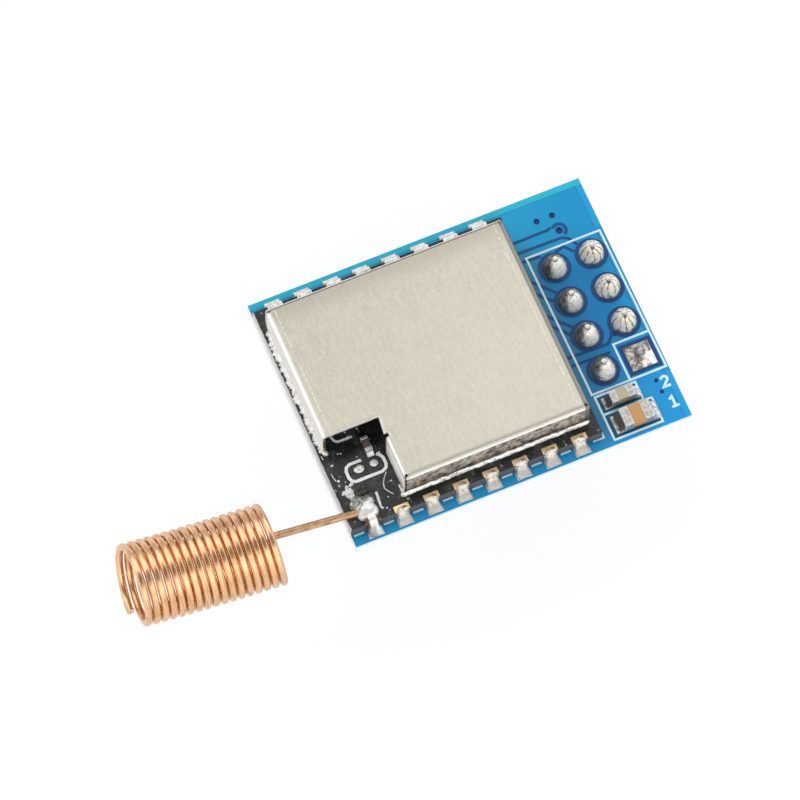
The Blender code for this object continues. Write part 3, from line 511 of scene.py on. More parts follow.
def paint_edge_joints(colour):
    """Front joints dull at the foot with a dark brown patch on the dome's right; back joints brighter with
    painted light.
    """
    x, y = here()[:2]
    foot = ramp(y, 0.68, 0.42)
    dull = blend(grain(6.0, 5.0), (0.40, 0.38, 0.34), (0.58, 0.57, 0.53))
    lit = blend(ramp(grain(3.6, 5.0, 0.75), 0.36, 0.54), (0.36, 0.29, 0.22), (0.90, 0.84, 0.75))
    colour = blend(foot, lit, dull)
    shift = maths("FLOORED_MODULO", plus(x, 1.0 - FIRST_CONTACT), CONTACT_PITCH)
    across = distance(shift, 1.2)
    along = distance(y, 1.02)
    # A dark brown patch on the dome's right.
    dark_patch = times(ramp(across, 0.22, 0.06), ramp(along, 0.2, 0.05))
    dark_patch = times(dark_patch, ramp(grain(3.0, 3.0), 0.3, 0.55))
    colour = blend(dark_patch, colour, (0.16, 0.10, 0.06))
    # Painted light: the back joints lighter and whiter.
    behind = blend(ramp(grain(4.0, 5.0, 0.8), 0.30, 0.55), (0.50, 0.48, 0.42), (1.0, 0.99, 0.97))
    return blend(ramp(y, 7.0, 9.0), colour, behind)


def paint_hand_joint(colour):
    """White lump with grey-green flux at its upper left and brown burns beside its neck."""
    x, y = here()[:2]
    bright = blend(0.7, colour, (1.0, 1.0, 1.0))
    crazed = blend(ramp(grain(5.0, 6.0, 0.8), 0.40, 0.60), (0.10, 0.11, 0.09), (0.66, 0.68, 0.62))
    rising = minus(y, times(x, 0.9))
    rising = plus(rising, times(grain(2.0, 4.0), 0.5))
    colour = blend(ramp(rising, 0.88, 1.10), bright, crazed)
    peak = ramp(distance_from(x, y, 1.86, 2.45), 0.30, 0.12)
    colour = blend(times(peak, 0.8), colour, (0.34, 0.25, 0.15))
    foot = times(ramp(y, 0.66, 0.46), ramp(x, 1.66, 1.44))
    colour = blend(foot, colour, (0.44, 0.42, 0.38))
    from_neck = distance(x, 1.5)
    neck = times(ramp(from_neck, 0.20, 0.30), window(y, 0.50, 1.12, 0.10))
    burnt = times(neck, ramp(grain(3.0, 4.0), 0.25, 0.45))
    return blend(burnt, colour, (0.13, 0.08, 0.045))


def from_pins():
    """The shaded point's X and Y from the nearest header pin, and its Z."""
    x, y, z = here()
    half = PIN_PITCH / 2
    made = []
    for value, first in zip((x, y), PIN_PLACES[0]):
        made.append(minus(maths("FLOORED_MODULO", plus(value, half - first), PIN_PITCH), half))
    return (*made, z)


def paint_inner_domes(colour):
    """Domes painted dark with painted shade over the upper left and with a ragged painted highlight at the
    lower right, and a pale pin tip.
    """
    x, y, z = from_pins()
    ragged = times(grain(2.8, 6.0, 0.8), 0.9)
    # Painted highlight round a point to the lower right of the pin, painted shade further from it.
    away = plus(distance_from(x, y, 0.12, -0.48), ragged)
    bright = blend(ramp(grain(5.0, 5.0, 0.8), 0.38, 0.48), (0.46, 0.42, 0.35), (1.0, 0.98, 0.92))
    dark = blend(ramp(grain(3.2, 6.0, 0.8), 0.42, 0.66), (0.07, 0.08, 0.075), (0.50, 0.46, 0.38))
    colour = blend(ramp(away, 1.14, 0.84), dark, bright)
    rim = ramp(distance_from(x, y, 0.0, 0.0), 0.76, 0.82)
    colour = blend(rim, colour, (0.12, 0.19, 0.28))
    return blend(ramp(z, TIP_LOW, TIP_HIGH), colour, (0.74, 0.70, 0.64))


def paint_outer_domes(colour):
    """Bright domes with painted shade in the folds running out from below the pin tip, and painted shade just
    in front of the tip.
    """
    x, y, z = from_pins()
    reach = distance_from(x, y, 0.0, 0.0)
    angle = times(maths("ARCTAN2", y, x), 9.0)
    bent = plus(angle, times(grain(0.6, 3.0), 12.0))
    # Painted shade along the dome's folds.
    fold_shade = ramp(maths("SINE", bent), 0.55, 0.98)
    fold_shade = times(fold_shade, ramp(grain(2.6, 3.0), 0.36, 0.52))
    bright = blend(ramp(grain(5.0, 5.0, 0.8), 0.34, 0.50), (0.56, 0.50, 0.38), (1.0, 0.95, 0.84))
    colour = blend(fold_shade, bright, (0.20, 0.18, 0.13))
    # Painted shade just in front of the pin tip.
    tip_shade = times(ramp(distance_from(x, y, -0.06, -0.2), 0.16, 0.08), ramp(z, TIP_HIGH, TIP_LOW))
    colour = blend(tip_shade, colour, (0.14, 0.12, 0.10))
    ragged = plus(reach, times(grain(3.0, 4.0), 0.16))
    colour = blend(ramp(ragged, 0.84, 0.90), colour, (0.12, 0.16, 0.20))
    return blend(ramp(z, TIP_LOW, TIP_HIGH), colour, (0.62, 0.55, 0.50))


def paint_square_joint(colour):
    """Four facets: a painted highlight making the one at the lower right white, the rest mottled and pinkish.
    """
    x, y, z = from_pins()
    mottled = blend(ramp(grain(2.2, 6.0, 0.75), 0.40, 0.60), (0.16, 0.14, 0.115), (0.90, 0.83, 0.76))
    angle = plus(maths("ARCTAN2", y, x), times(grain(1.6), 0.5))
    # Painted highlight on the facet at the lower right.
    highlight_facet = window(angle, -0.75, 0.28, 0.05)
    highlight_facet = times(highlight_facet, ramp(distance_from(x, y, 0.0, 0.0), 0.22, 0.30))
    colour = blend(highlight_facet, mottled, (1.0, 1.0, 0.98))
    sheen = blend(ramp(grain(3.0, 4.0), 0.4, 0.6), (0.22, 0.22, 0.21), (0.60, 0.58, 0.55))
    return blend(ramp(z, 0.60, 0.68), colour, sheen)


def paint_fillets(colour):
    """Hollow fillets, dark between a bright rim and the chip's end."""
    x, _, z = here()
    hollow = times(window(z, 0.13, 0.75, 0.05), ramp(x, 18.75, 18.65))
    bright = blend(ramp(grain(4.0, 5.0, 0.8), 0.38, 0.55), (0.34, 0.32, 0.28), (1.0, 0.99, 0.96))
    dark = blend(grain(4.0, 5.0, 0.8), (0.03, 0.03, 0.028), (0.30, 0.25, 0.22))
    return blend(hollow, bright, dark)


def crust_look():
    """Dried flux, powdery and off-white."""
    look("flux_crust")
    colour = blend(ramp(grain(6.0, 5.0, 0.8), 0.4, 0.6), (0.66, 0.66, 0.65), (1.0, 1.0, 1.0))
    return surface(colour, 0.6, bump(grain(14.0, 4.0), 0.6, 0.04))


def wire_streaks():
    """Noise drawn out along the coil's wire: even along a turn and fine across it."""
    from_centre = vector_maths("SUBTRACT", current["place"], COIL_CENTRE)
    turned = add("ShaderNodeVectorRotate", {"Vector": from_centre, "Angle": -COIL_SWING},
                 rotation_type="Z_AXIS")
    along, across, up = apart(turned.outputs[0])
    angle = maths("ARCTAN2", across, up)
    advance = times(angle, COIL_WIRE_PITCH / (2 * math.pi))
    drawn = add("ShaderNodeCombineXYZ", {0: plus(along, advance), 1: angle}).outputs[0]
    return grain(1.0, 3.0, 0.6, (9.0, 0.7, 1.0), drawn)


def copper_look():
    """Bright drawn copper wire, with faint tarnish and die lines."""
    look("copper_wire")
    tarnish = ramp(grain(1.3, 5.0, 0.65), 0.42, 0.75)
    colour = blend(tarnish, (0.97, 0.63, 0.38), (0.82, 0.46, 0.22))
    streaks = wire_streaks()
    worn = times(ramp(streaks, 0.52, 0.40), 0.5)
    colour = blend(worn, colour, (0.56, 0.28, 0.11))
    lead = ramp(here()[0], -5.0, -4.2)
    lead_tint_and_shade = blend(ramp(grain(3.0, 5.0, 0.7, (0.5, 2.5, 1.0)), 0.32, 0.66), (0.44, 0.24, 0.12),
                   (0.78, 0.51, 0.29))
    # Painted shade: the lead near black where it faces the back.
    lead_tint_and_shade = blend(ramp(facing(1), 0.45, 0.85), lead_tint_and_shade, (0.10, 0.035, 0.012))
    colour = blend(lead, colour, lead_tint_and_shade)
    return surface(colour, blend_value(lead, blend_value(tarnish, 0.23, 0.32), 0.55),
                   bump(streaks, 0.35, 0.05, bump(grain(14.0, 4.0), 0.12, 0.02)), metallic=1.0)


def tin_look():
    """Tin plating on chip ends and the crystal's lid: mottled, with painted highlights along its rounded edges.
    """
    look("tin_plate")
    rounded = soft_edges(0.09)
    agreement = add("ShaderNodeVectorMath", {0: rounded, 1: true_normal()}, operation="DOT_PRODUCT")
    # Painted highlight along the rounded edges.
    edge = ramp(agreement.outputs["Value"], 0.997, 0.955)
    mottled = ramp(grain(6.0, 6.0, 0.8), 0.34, 0.62)
    colour = blend(mottled, (0.24, 0.23, 0.20), (0.66, 0.65, 0.60))
    colour = blend(edge, colour, (1.0, 1.0, 0.99))
    return surface(colour, 0.34, bump(grain(7.0, 5.0), 0.5, 0.04, rounded), metallic=0.55)


def plain_look(name, fineness, dark, light, roughness, relief, edge=None, **others):
    """Grain between two colours, over a relief given as the grain's scale and detail, strength and depth."""
    look(name)
    normal = bump(grain(*relief[:2]), *relief[2:], soft_edges(edge) if edge else None)
    return surface(blend(grain(*fineness), dark, light), roughness, normal, **others)


def ceramic_look(name, dark, light):
    return plain_look(name, (9.0, 6.0, 0.75), dark, light, 0.42, (20.0, 4.0, 0.3, 0.02), 0.03)


def black_plastic_look(name, roughness):
    return plain_look(name, (2.0, 5.0), (0.010, 0.010, 0.011), (0.030, 0.030, 0.032), roughness,
                      (12.0, 3.0, 0.3, 0.03), 0.06)


def ink_look(name, thin, full):
    """White screen-print ink, thin enough to break up a little and let the board tint it."""
    return plain_look(name, (5.0, 5.0, 0.7), thin, full, 0.55, (14.0, 3.0, 0.3, 0.01))


def pin_look():
    """Gold-plated pins whose soldered ends above the board are tinned."""
    look("pin_metal")
    gold = blend(grain(2.0, 4.0, 0.6, (4.0, 4.0, 0.4)), (0.72, 0.47, 0.15), (0.92, 0.68, 0.30))
    colour = blend(ramp(here()[2], -0.2, 0.2), gold, (0.62, 0.60, 0.55))
    return surface(colour, 0.27, bump(grain(6.0, 3.0, 0.6, (3.0, 3.0, 0.5)), 0.2, 0.03, soft_edges(0.04)),
                   metallic=1.0)


def gap_look():
    """Mask over bare laminate, where the copper is cut back: dark indigo."""
    look("mask_over_laminate")
    colour = blend(ramp(here()[1], 5.0, 16.0), (0.004, 0.055, 0.205), (0.008, 0.10, 0.30))
    colour = blend(grain(2.0, 4.0), colour, (0.006, 0.075, 0.24))
    return surface(colour, 0.25, bump(grain(2.5, 3.0), 0.25, 0.03), gloss=0.2)


LOOKS = {
    "blue_board": blue_board_look(),
    "black_board": black_board_look(),
    "shield_metal": sheet_metal_look(),
    "copper_wire": copper_look(),
    "solder": solder_look("solder_bright", paint_bright),
    "tin_plate": tin_look(),
    "header_plastic": black_plastic_look("header_plastic", 0.42),
    "pin_metal": pin_look(),
    "large_ceramic": ceramic_look("large_ceramic", (0.50, 0.25, 0.08), (0.68, 0.38, 0.15)),
    "small_ceramic": ceramic_look("small_ceramic", (0.44, 0.38, 0.22), (0.60, 0.54, 0.36)),
    "dark_ceramic": ceramic_look("dark_ceramic", (0.10, 0.075, 0.065), (0.20, 0.15, 0.13)),
    "chip_plastic": black_plastic_look("chip_plastic", 0.5),
}
INK = ink_look("ink_on_blue", (0.54, 0.84, 0.97), (0.84, 1.0, 1.0))
BLACK_BOARD_INK = ink_look("ink_on_black", (0.95, 0.97, 0.97), (1.0, 1.0, 1.0))
GAP = gap_look()
VIA = plain_look("masked_via", (8.0,), (0.001, 0.006, 0.07), (0.003, 0.03, 0.22), 0.18,
                 (12.0, 4.0, 0.4, 0.02), gloss=0.3)
EDGE_SOLDER = solder_look("solder_on_edges", paint_edge_joints)
HAND_SOLDER = solder_look("solder_by_hand", paint_hand_joint)
INNER_SOLDER = solder_look("solder_inner_pins", paint_inner_domes, 0.2)
OUTER_SOLDER = solder_look("solder_outer_pins", paint_outer_domes, 0.2)
SQUARE_SOLDER = solder_look("solder_square", paint_square_joint)
FILLET_SOLDER = solder_look("solder_fillets", paint_fillets)
CRUST = crust_look()
DROP = plain_look("flux_drop", (5.0,), (0.012, 0.012, 0.012), (0.06, 0.055, 0.05), 0.08,
                  (7.0, 4.0, 0.5, 0.05), ior=1.55)


def dress_cad_nodes():
    """Each CAD node takes the material of its record slot."""
    for part in frame["record"]["subparts"]:
        mesh = frame["nodes"][part["node"]].data
        mesh.materials.clear()
        mesh.materials.append(LOOKS[part["material_slot"]])


# Piece helpers

def wave(x, y, z):
    """Smooth noise between about -1 and 1."""
    return noise.noise(Vector((x, y, z)))


def linked(name, data):
    made = bpy.data.objects.new(name, data)
    bpy.context.scene.collection.objects.link(made)
    return made


def settled(rough):
    """The mesh of a rough object with its modifiers or bevel applied; the object goes."""
    bpy.context.view_layer.update()
    mesh = bpy.data.meshes.new_from_object(rough.evaluated_get(bpy.context.evaluated_depsgraph_get()))
    bpy.data.objects.remove(rough)
    work = bmesh.new()
    work.from_mesh(mesh)
    return work


def piece(name, work, material, smooth_angle):
    """A finished mesh piece on the one rigid body."""
    mesh = bpy.data.meshes.new(name)
    work.to_mesh(mesh)
    work.free()
    mesh.materials.append(material)
    mesh.shade_smooth()
    mesh.set_sharp_from_angle(angle=math.radians(smooth_angle))
    made = linked(name, mesh)
    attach(made, "root")
    return made


def fine_points(points, closed):
    """A polyline with extra points, so that none are further apart than the print's step."""
    ends = list(points[1:]) + ([points[0]] if closed else [])
    made = []
    for start, end in zip(points, ends):
        first = Vector(start)
        along = Vector(end) - first
        count = max(1, math.ceil(along.length / STRIP_STEP))
        for i in range(count):
            made.append(first + along * i / count)
    if not closed:
        made.append(Vector(points[-1]))
    return made


def add_strip(work, z, thickness, wobble, points, width, closed=False):
    """A flat printed strip along a polyline, with slightly uneven edges."""
    path = fine_points(points, closed)
    count = len(path)
    rings = []
    for i, at in enumerate(path):
        before = path[i - 1] if i > 0 or closed else at
        after = path[(i + 1) % count] if i < count - 1 or closed else at
        arrive = (at - before).normalized() if at != before else (after - at).normalized()
        leave = (after - at).normalized() if after != at else arrive
        middle = (arrive + leave).normalized()
        across = Vector((-middle.y, middle.x))
        reach = width / 2 / max(0.5, middle.dot(arrive))
        ring = []
        for side in (1, -1):
            uneven = 1 + wobble * wave(at.x * 3.1, at.y * 3.1, side * 7.0 + width * 40)
            edge = at + across * side * reach * uneven
            for level in (z + thickness, z):
                ring.append(work.verts.new(spot(edge.x, edge.y, level)))
        rings.append((ring[0], ring[2], ring[3], ring[1]))
    pairs = list(zip(rings, rings[1:] + ([rings[0]] if closed else [])))
    for first, second in pairs:
        for k in range(4):
            j = (k + 1) % 4
            work.faces.new((first[k], first[j], second[j], second[k]))
    if not closed:
        work.faces.new(reversed(rings[0]))
        work.faces.new(rings[-1])


def ring_points(x, y, radius, start, end, count):
    """Points of an arc in board millimetres, by degrees from +X."""
    made = []
    for i in range(count + 1):
        angle = math.radians(start + (end - start) * i / count)
        made.append((x + radius * math.cos(angle), y + radius * math.sin(angle)))
    return made


def circle(x, y, radius, sides):
    return ring_points(x, y, radius, 0.0, 360.0 - 360.0 / sides, sides - 1)


def strips_piece(name, strips, material, board, thickness=PRINT_THICKNESS, wobble=0.10):
    """Several strips (points, width, and True for a closed one) as one piece on a board; each is a shade
    thicker than the last."""
    work = bmesh.new()
    for index, strip in enumerate(strips):
        add_strip(work, BOARD_TOPS[board], thickness + index * PRINT_STEP, wobble, *strip)
    bmesh.ops.recalc_face_normals(work, faces=work.faces)
    return piece(name, work, material, 30.0)


# Print on the boards

def carrier_print():
    """White outlines on the carrier: header frame, capacitor boxes, contact dashes and figures."""
    line = 0.14
    header = [(17.50, 13.86), (22.57, 13.86), (22.66, 3.66), (17.56, 3.66)]
    square = [(20.18, 3.66), (20.18, 6.30), (22.62, 6.30)]
    strips_piece("header_frame_print", [(header, line, True), (square, line)], INK, "blue_board")
    small = [(17.66, 2.20), (17.66, 3.44), (20.42, 3.44), (20.42, 2.20)]
    large = [(20.95, 2.06), (20.95, 0.32), (17.66, 0.32), (17.66, 2.06)]
    between = [(17.60, 2.13), (20.45, 2.13)]
    beside = [(20.42, 2.06), (20.95, 2.06)]
    boxes = [(points, line) for points in (small, large, between, beside)]
    strips_piece("capacitor_box_print", boxes, INK, "blue_board")
    dashes = []
    for index in range(-1, CONTACTS - 1):
        middle = FIRST_CONTACT + CONTACT_PITCH * (index + 0.5)
        dashes.append(([(middle - 0.35, 0.73), (middle + 0.35, 0.73)], 0.13))
    dashes.append(([(16.35, 0.73), (RADIO.x + 0.1, 0.73), (RADIO.x + 0.1, RADIO.y)], 0.10))
    strips_piece("module_outline_print", dashes, INK, "blue_board")
    two = ring_points(22.17, 2.90, 0.2, 170, -40, 12) + [(21.94, 2.40), (22.42, 2.40)]
    one = [(21.90, 1.50), (22.12, 1.64), (22.12, 0.96)]
    foot = [(21.88, 0.96), (22.38, 0.96)]
    strips_piece("figure_print", [(points, 0.17) for points in (two, one, foot)], INK, "blue_board")


def radio_print():
    """White marks in the can's notch."""
    outline = [(2.41, 4.95), (1.62, 4.95), (1.36, 4.82), (1.25, 4.55), (1.25, 4.12), (1.36, 3.84),
               (1.6, 3.74), (3.38, 3.74), (3.66, 3.9), (3.76, 4.16), (3.74, 4.6), (3.6, 4.86), (3.44, 4.98)]
    arc = [(1.22, 7.3), (1.30, 6.99), (1.375, 6.77), (1.56, 6.64), (2.01, 6.63), (2.49, 6.63)]
    strips_piece("notch_print", [(outline, 0.20), (arc, 0.155)], BLACK_BOARD_INK, "black_board")


def flux_trails():
    """Thin dried lines, scratches and spots on the black board's open corner, and a dot of gold."""
    curve = [(2.455, 2.62), (2.40, 2.22), (2.37, 1.81), (2.36, 1.6), (2.42, 1.43)]
    arc = [(3.54, 3.61), (3.28, 3.3), (3.09, 3.01), (3.02, 2.62), (3.18, 2.34), (3.40, 2.07)]
    left = [(0.34, 4.80), (0.36, 4.50), (0.44, 4.22)]
    upper = [(0.22, 6.12), (0.26, 5.86)]
    low = [(0.45, 3.95), (0.49, 3.80)]
    bits = [(curve, 0.14), (arc, 0.05), (left, 0.05), (upper, 0.06), (low, 0.05)]
    for x, y, size in FLUX_SPOTS:
        bits.append(([(x - size * 0.5, y - size * 0.2), (x + size * 0.5, y + size * 0.2)], size))
    strips_piece("flux_trails", bits, CRUST, "black_board", 0.012, 0.5)
    strips_piece("gold_dot", [([(4.02, 1.43), (4.20, 1.43)], 0.17)], LOOKS["pin_metal"], "black_board", 0.012)


def copper_gaps():
    """Dark lines where the copper under the blue mask is cut back round pins and tracks."""
    x, y = PIN_PLACES[0]
    half = 0.98
    square = [(x - half, y - half), (x + half, y - half), (x + half, y + half), (x - half, y + half)]
    rings = [circle(x, y, 0.96, 40) for x, y in PIN_PLACES[1:]]
    strips = [(points, 0.24, True) for points in [square] + rings]
    tracks = [
        [(17.1, 15.12), (19.5, 15.14), (19.78, 15.22)],
        [(17.1, 14.36), (20.12, 14.32), (20.55, 14.1), (20.86, 13.5)],
        [(17.1, 13.72), (18.4, 13.64)],
        [(19.3, 13.5), (20.0, 13.72), (20.5, 13.12)],
        [(17.1, 12.28), (17.95, 11.36), (18.3, 10.95)],
        [(17.1, 11.36), (17.56, 10.83), (18.0, 10.45)],
        [(17.1, 9.74), (17.71, 9.01), (18.3, 8.4)],
        [(17.1, 8.94), (17.71, 8.28), (18.0, 7.9)],
        [(17.1, 6.54), (19.9, 6.46), (20.3, 6.86), (20.5, 7.3)],
        [(17.1, 5.95), (19.8, 5.88)],
        [(18.42, 4.1), (18.42, 3.95)],
        [(19.3, 4.1), (19.3, 3.92)],
    ]
    strips += [(points, 0.2) for points in tracks]
    strips.append((ring_points(20.21, 14.85, 0.44, 140, -60, 24), 0.22))
    strips_piece("copper_gaps", strips, GAP, "blue_board", 0.003, 0.05)


def via_holes():
    """Small plated holes filled with mask: dark blue dimples with a bright rim."""
    work = bmesh.new()
    for x, y, radius in VIAS:
        rows = []
        for reach, level in ((1.0, 0.0), (0.95, 0.03), (0.62, 0.034), (0.45, 0.016), (0.1, 0.010)):
            rows.append([work.verts.new(spot(*point, level)) for point in circle(x, y, radius * reach, 16)])
        close_tube(work, rows)
    piece("via_holes", work, VIA, 50.0)


# Spring antenna

def coil_point(turn):
    """Wire centre at a turn count, in board millimetres."""
    along = Vector((math.cos(COIL_SWING), math.sin(COIL_SWING), 0.0))
    across = Vector((-math.sin(COIL_SWING), math.cos(COIL_SWING), 0.0))
    back = (COIL_CENTRE_TURN - turn) * COIL_WIRE_PITCH
    centre = Vector(COIL_CENTRE) - along * back
    centre.z += 0.5 * COIL_BOW * back * back
    lean = math.atan(COIL_BOW * back)
    up = Vector((along.x * math.sin(lean), along.y * math.sin(lean), math.cos(lean)))
    angle = 2 * math.pi * turn
    return centre + (across * math.cos(angle) + up * math.sin(angle)) * COIL_RADIUS


def antenna():
    """The wire again with round turns: the same helix, bend and lead as the CAD node."""
    last = COIL_START_TURN + COIL_TURNS
    count = round(COIL_TURNS * TURN_POINTS)
    points = [coil_point(COIL_START_TURN + COIL_TURNS * i / count) for i in range(count + 1)]
    lead_z = RADIO_TOP + COPPER + LEAD_LIFT + WIRE_RADIUS
    lead_start = Vector((*LEAD_START, lead_z))
    lead_end = Vector((*LEAD_END, lead_z))
    heading = (lead_end - lead_start).normalized()
    leaving = (coil_point(last) - coil_point(last - 0.01)).normalized()
    first = points[-1]
    stretch = (lead_start - first).length
    control_a = first + leaving * stretch * 0.45
    control_b = lead_start - heading * stretch * 0.45
    for step in range(1, BEND_POINTS + 1):
        t = step / BEND_POINTS
        leave = first * (1 - t) ** 3 + control_a * (3 * t * (1 - t) ** 2)
        arrive = control_b * (3 * t * t * (1 - t)) + lead_start * t ** 3
        points.append(leave + arrive)
    for step in range(1, LEAD_POINTS + 1):
        points.append(lead_start.lerp(lead_end, step / LEAD_POINTS))
    path = bpy.data.curves.new("antenna_wire", "CURVE")
    path.dimensions = "3D"
    path.bevel_depth = WIRE_RADIUS * MM
    path.bevel_resolution = 6
    path.use_fill_caps = True
    line = path.splines.new("POLY")
    line.points.add(len(points) - 1)
    for point, place in zip(line.points, points):
        point.co = (*spot(*place), 1.0)
    work = settled(linked("antenna_rough", path))
    bmesh.ops.remove_doubles(work, verts=work.verts, dist=1e-8)
    wire = piece("antenna_wire", work, LOOKS["copper_wire"], 50.0)
    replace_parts(wire, "spring_antenna")


# Shield can

def pushed(depth, shift):
    """The whole shift near a wall, less inward and none beyond its reach."""
    return shift * min(1.0, max(0.0, (SHIFT_REACH - depth) / 0.5))


def shield_can():
    """The folded can again, its walls standing a little further out, as in the photograph."""
    work = bmesh.new()
    work.from_mesh(frame["nodes"]["shield_can"].data)
    low = from_front(can_low)
    high = from_front(can_high)
    for vertex in work.verts:
        old = from_front(vertex.co)
        x = old.x - pushed(old.x - low.x, CAN_LEFT_SHIFT) + pushed(high.x - old.x, CAN_RIGHT_SHIFT)
        y = old.y - pushed(old.y - low.y, CAN_FRONT_SHIFT) + pushed(high.y - old.y, CAN_BACK_SHIFT)
        if old.y < NOTCH_WALL_TOP and old.x < NOTCH_WALL + SHIFT_REACH:
            x -= pushed(old.x - NOTCH_WALL, NOTCH_WALL_SHIFT)
        vertex.co = spot(x, y, old.z)
    made = piece("folded_can", work, LOOKS["shield_metal"], 30.0)
    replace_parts(made, "shield_can")


# Solder

def melted(name, mesh, voxel, rounds):
    """A rough mesh in millimetres remade as one fine, soft skin."""
    rough = linked(name + "_rough", mesh)
    remesh = rough.modifiers.new("remesh", "REMESH")
    remesh.mode = "VOXEL"
    remesh.voxel_size = voxel
    relax = rough.modifiers.new("relax", "SMOOTH")
    relax.factor = 0.5
    relax.iterations = rounds
    work = settled(rough)
    work.normal_update()
    return work


def softened(name, node, material, voxel, rounds, lumps, scale):
    """A CAD solder joint remade as a fine, soft surface with small lumps, in the same place."""
    low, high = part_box(node)
    centre = (low + high) / 2
    mesh = frame["nodes"][node].data.copy()
    mesh.transform(Matrix.Scale(1 / MM, 4) @ Matrix.Translation(-centre))
    work = melted(name, mesh, voxel, rounds)
    shifts = [vertex.normal * lumps * noise.noise((vertex.co + centre / MM) * scale) for vertex in work.verts]
    for vertex, shift in zip(work.verts, shifts):
        vertex.co += shift
    bmesh.ops.transform(work, matrix=Matrix.Translation(centre) @ Matrix.Scale(MM, 4), verts=work.verts)
    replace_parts(piece(name, work, material, 180.0), node)


def read_rows(table, value):
    """Straight-line reading of a table of rows, each a key and its values."""
    for first, second in zip(table, table[1:]):
        if value <= second[0]:
            share = (value - first[0]) / (second[0] - first[0])
            return [a + (b - a) * max(0.0, share) for a, b in zip(first[1:], second[1:])]
    return list(table[-1][1:])


def front_joint(index):
    """Solder from the carrier's land up over the radio board's half hole, ending in a dome on the gold land."""
    centre = FIRST_CONTACT + CONTACT_PITCH * (index - 1)
    drift = 0.05 * wave(index * 7.3, 1.7, 0.0)
    taller = 1 + 0.25 * wave(index * 7.3 + 3.1, 1.7, 0.0)
    first_y = FRONT_JOINT_ROWS[0][0]
    last_y = FRONT_JOINT_ROWS[-1][0]
    rows = 44
    across = 24
    grid = []
    for i in range(rows + 1):
        y = first_y + (last_y - first_y) * i / rows
        half, crown = read_rows(FRONT_JOINT_ROWS, y)
        base = COPPER if y < RADIO_LOW.y + 0.003 else RADIO.z
        if crown > RADIO.z:
            crown = RADIO.z + (crown - RADIO.z) * taller
        row = []
        for j in range(across + 1):
            u = -1 + 2 * j / across
            x = centre + drift * min(1.0, y) + half * u
            height = base + max(0.0, crown - base) * max(0.0, 1 - abs(u) ** 2.6) ** 0.62
            lump = 0.030 * wave(x * 5.0, y * 5.0, height * 5.0) + 0.012 * wave(x * 13.0, y * 9.0, index * 3.0)
            row.append((x, y, max(height + lump * (1 - abs(u) ** 4), base + 0.002), base))
        grid.append(row)
    made = piece("front_solder_%d" % index, grid_solid(grid), EDGE_SOLDER, 60.0)
    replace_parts(made, "edge_joint_front_%d" % index)


def grid_solid(grid):
    """A closed solid from rows of points, each X, Y, top and base."""
    work = bmesh.new()
    tops = [[work.verts.new(spot(x, y, top)) for x, y, top, base in row] for row in grid]
    bases = [[work.verts.new(spot(x, y, base)) for x, y, top, base in row] for row in grid]
    for layer in (tops, bases):
        for first, second in zip(layer, layer[1:]):
            for j in range(len(first) - 1):
                work.faces.new((first[j], first[j + 1], second[j + 1], second[j]))
    for top, base in ((tops[0], bases[0]), (tops[-1], bases[-1])):
        for j in range(len(top) - 1):
            work.faces.new((top[j], top[j + 1], base[j + 1], base[j]))
    for side in (0, -1):
        for i in range(len(tops) - 1):
            work.faces.new((tops[i][side], tops[i + 1][side], bases[i + 1][side], bases[i][side]))
    bmesh.ops.recalc_face_normals(work, faces=work.faces)
    return work


def add_ball(work, centre, radii, turn=0.0):
    """An ellipsoid in board millimetres, for blending into a lump."""
    made = bmesh.ops.create_uvsphere(work, u_segments=24, v_segments=16, radius=1.0)
    turned = Matrix.Rotation(math.radians(turn), 4, "Z") @ Matrix.Diagonal((*radii, 1.0))
    bmesh.ops.transform(work, matrix=Matrix.Translation(centre) @ turned, verts=made["verts"])


def blended(name, balls, material, voxel, rounds, lumps, scale):
    """Ellipsoids melted into one lumpy solid that rests on the boards."""
    rough = bmesh.new()
    for ball in balls:
        add_ball(rough, *ball)
    mesh = bpy.data.meshes.new(name + "_rough")
    rough.to_mesh(mesh)
    rough.free()
    work = melted(name, mesh, voxel, rounds)
    shifts = [vertex.normal * lumps * noise.noise(vertex.co * scale) for vertex in work.verts]
    for vertex, shift in zip(work.verts, shifts):
        moved = vertex.co + shift
        level = COPPER if moved.y < RADIO_LOW.y else RADIO_TOP
        vertex.co = spot(moved.x, moved.y, max(moved.z, level))
    return piece(name, work, material, 180.0)


def antenna_joint():
    """The hand-made joint: a fat lump round the wire's end, a neck over the edge and a foot on the land."""
    balls = [
        ((1.33, 1.78, RADIO.z + 0.12), (0.70, 0.88, 0.52)),
        ((1.12, 2.25, RADIO.z + 0.04), (0.62, 0.52, 0.30)),
        ((1.62, 1.55, RADIO.z + 0.20), (0.46, 0.58, 0.46)),
        ((1.75, 2.20, RADIO.z + 0.05), (0.36, 0.46, 0.36)),
        ((1.50, 1.02, RADIO.z + 0.02), (0.50, 0.45, 0.36)),
        ((1.50, 0.86, 0.76), (0.46, 0.34, 0.34)),
        ((1.50, 0.72, 0.62), (0.45, 0.28, 0.34)),
        ((1.50, 0.64, 0.49), (0.45, 0.28, 0.32)),
        ((1.50, 0.56, 0.36), (0.46, 0.29, 0.28)),
        ((1.50, 0.49, 0.24), (0.47, 0.28, 0.22)),
        ((1.50, 0.42, 0.12), (0.47, 0.26, 0.16)),
    ]
    made = blended("antenna_solder", balls, HAND_SOLDER, 0.028, 9, 0.05, 2.6)
    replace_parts(made, "antenna_joint")


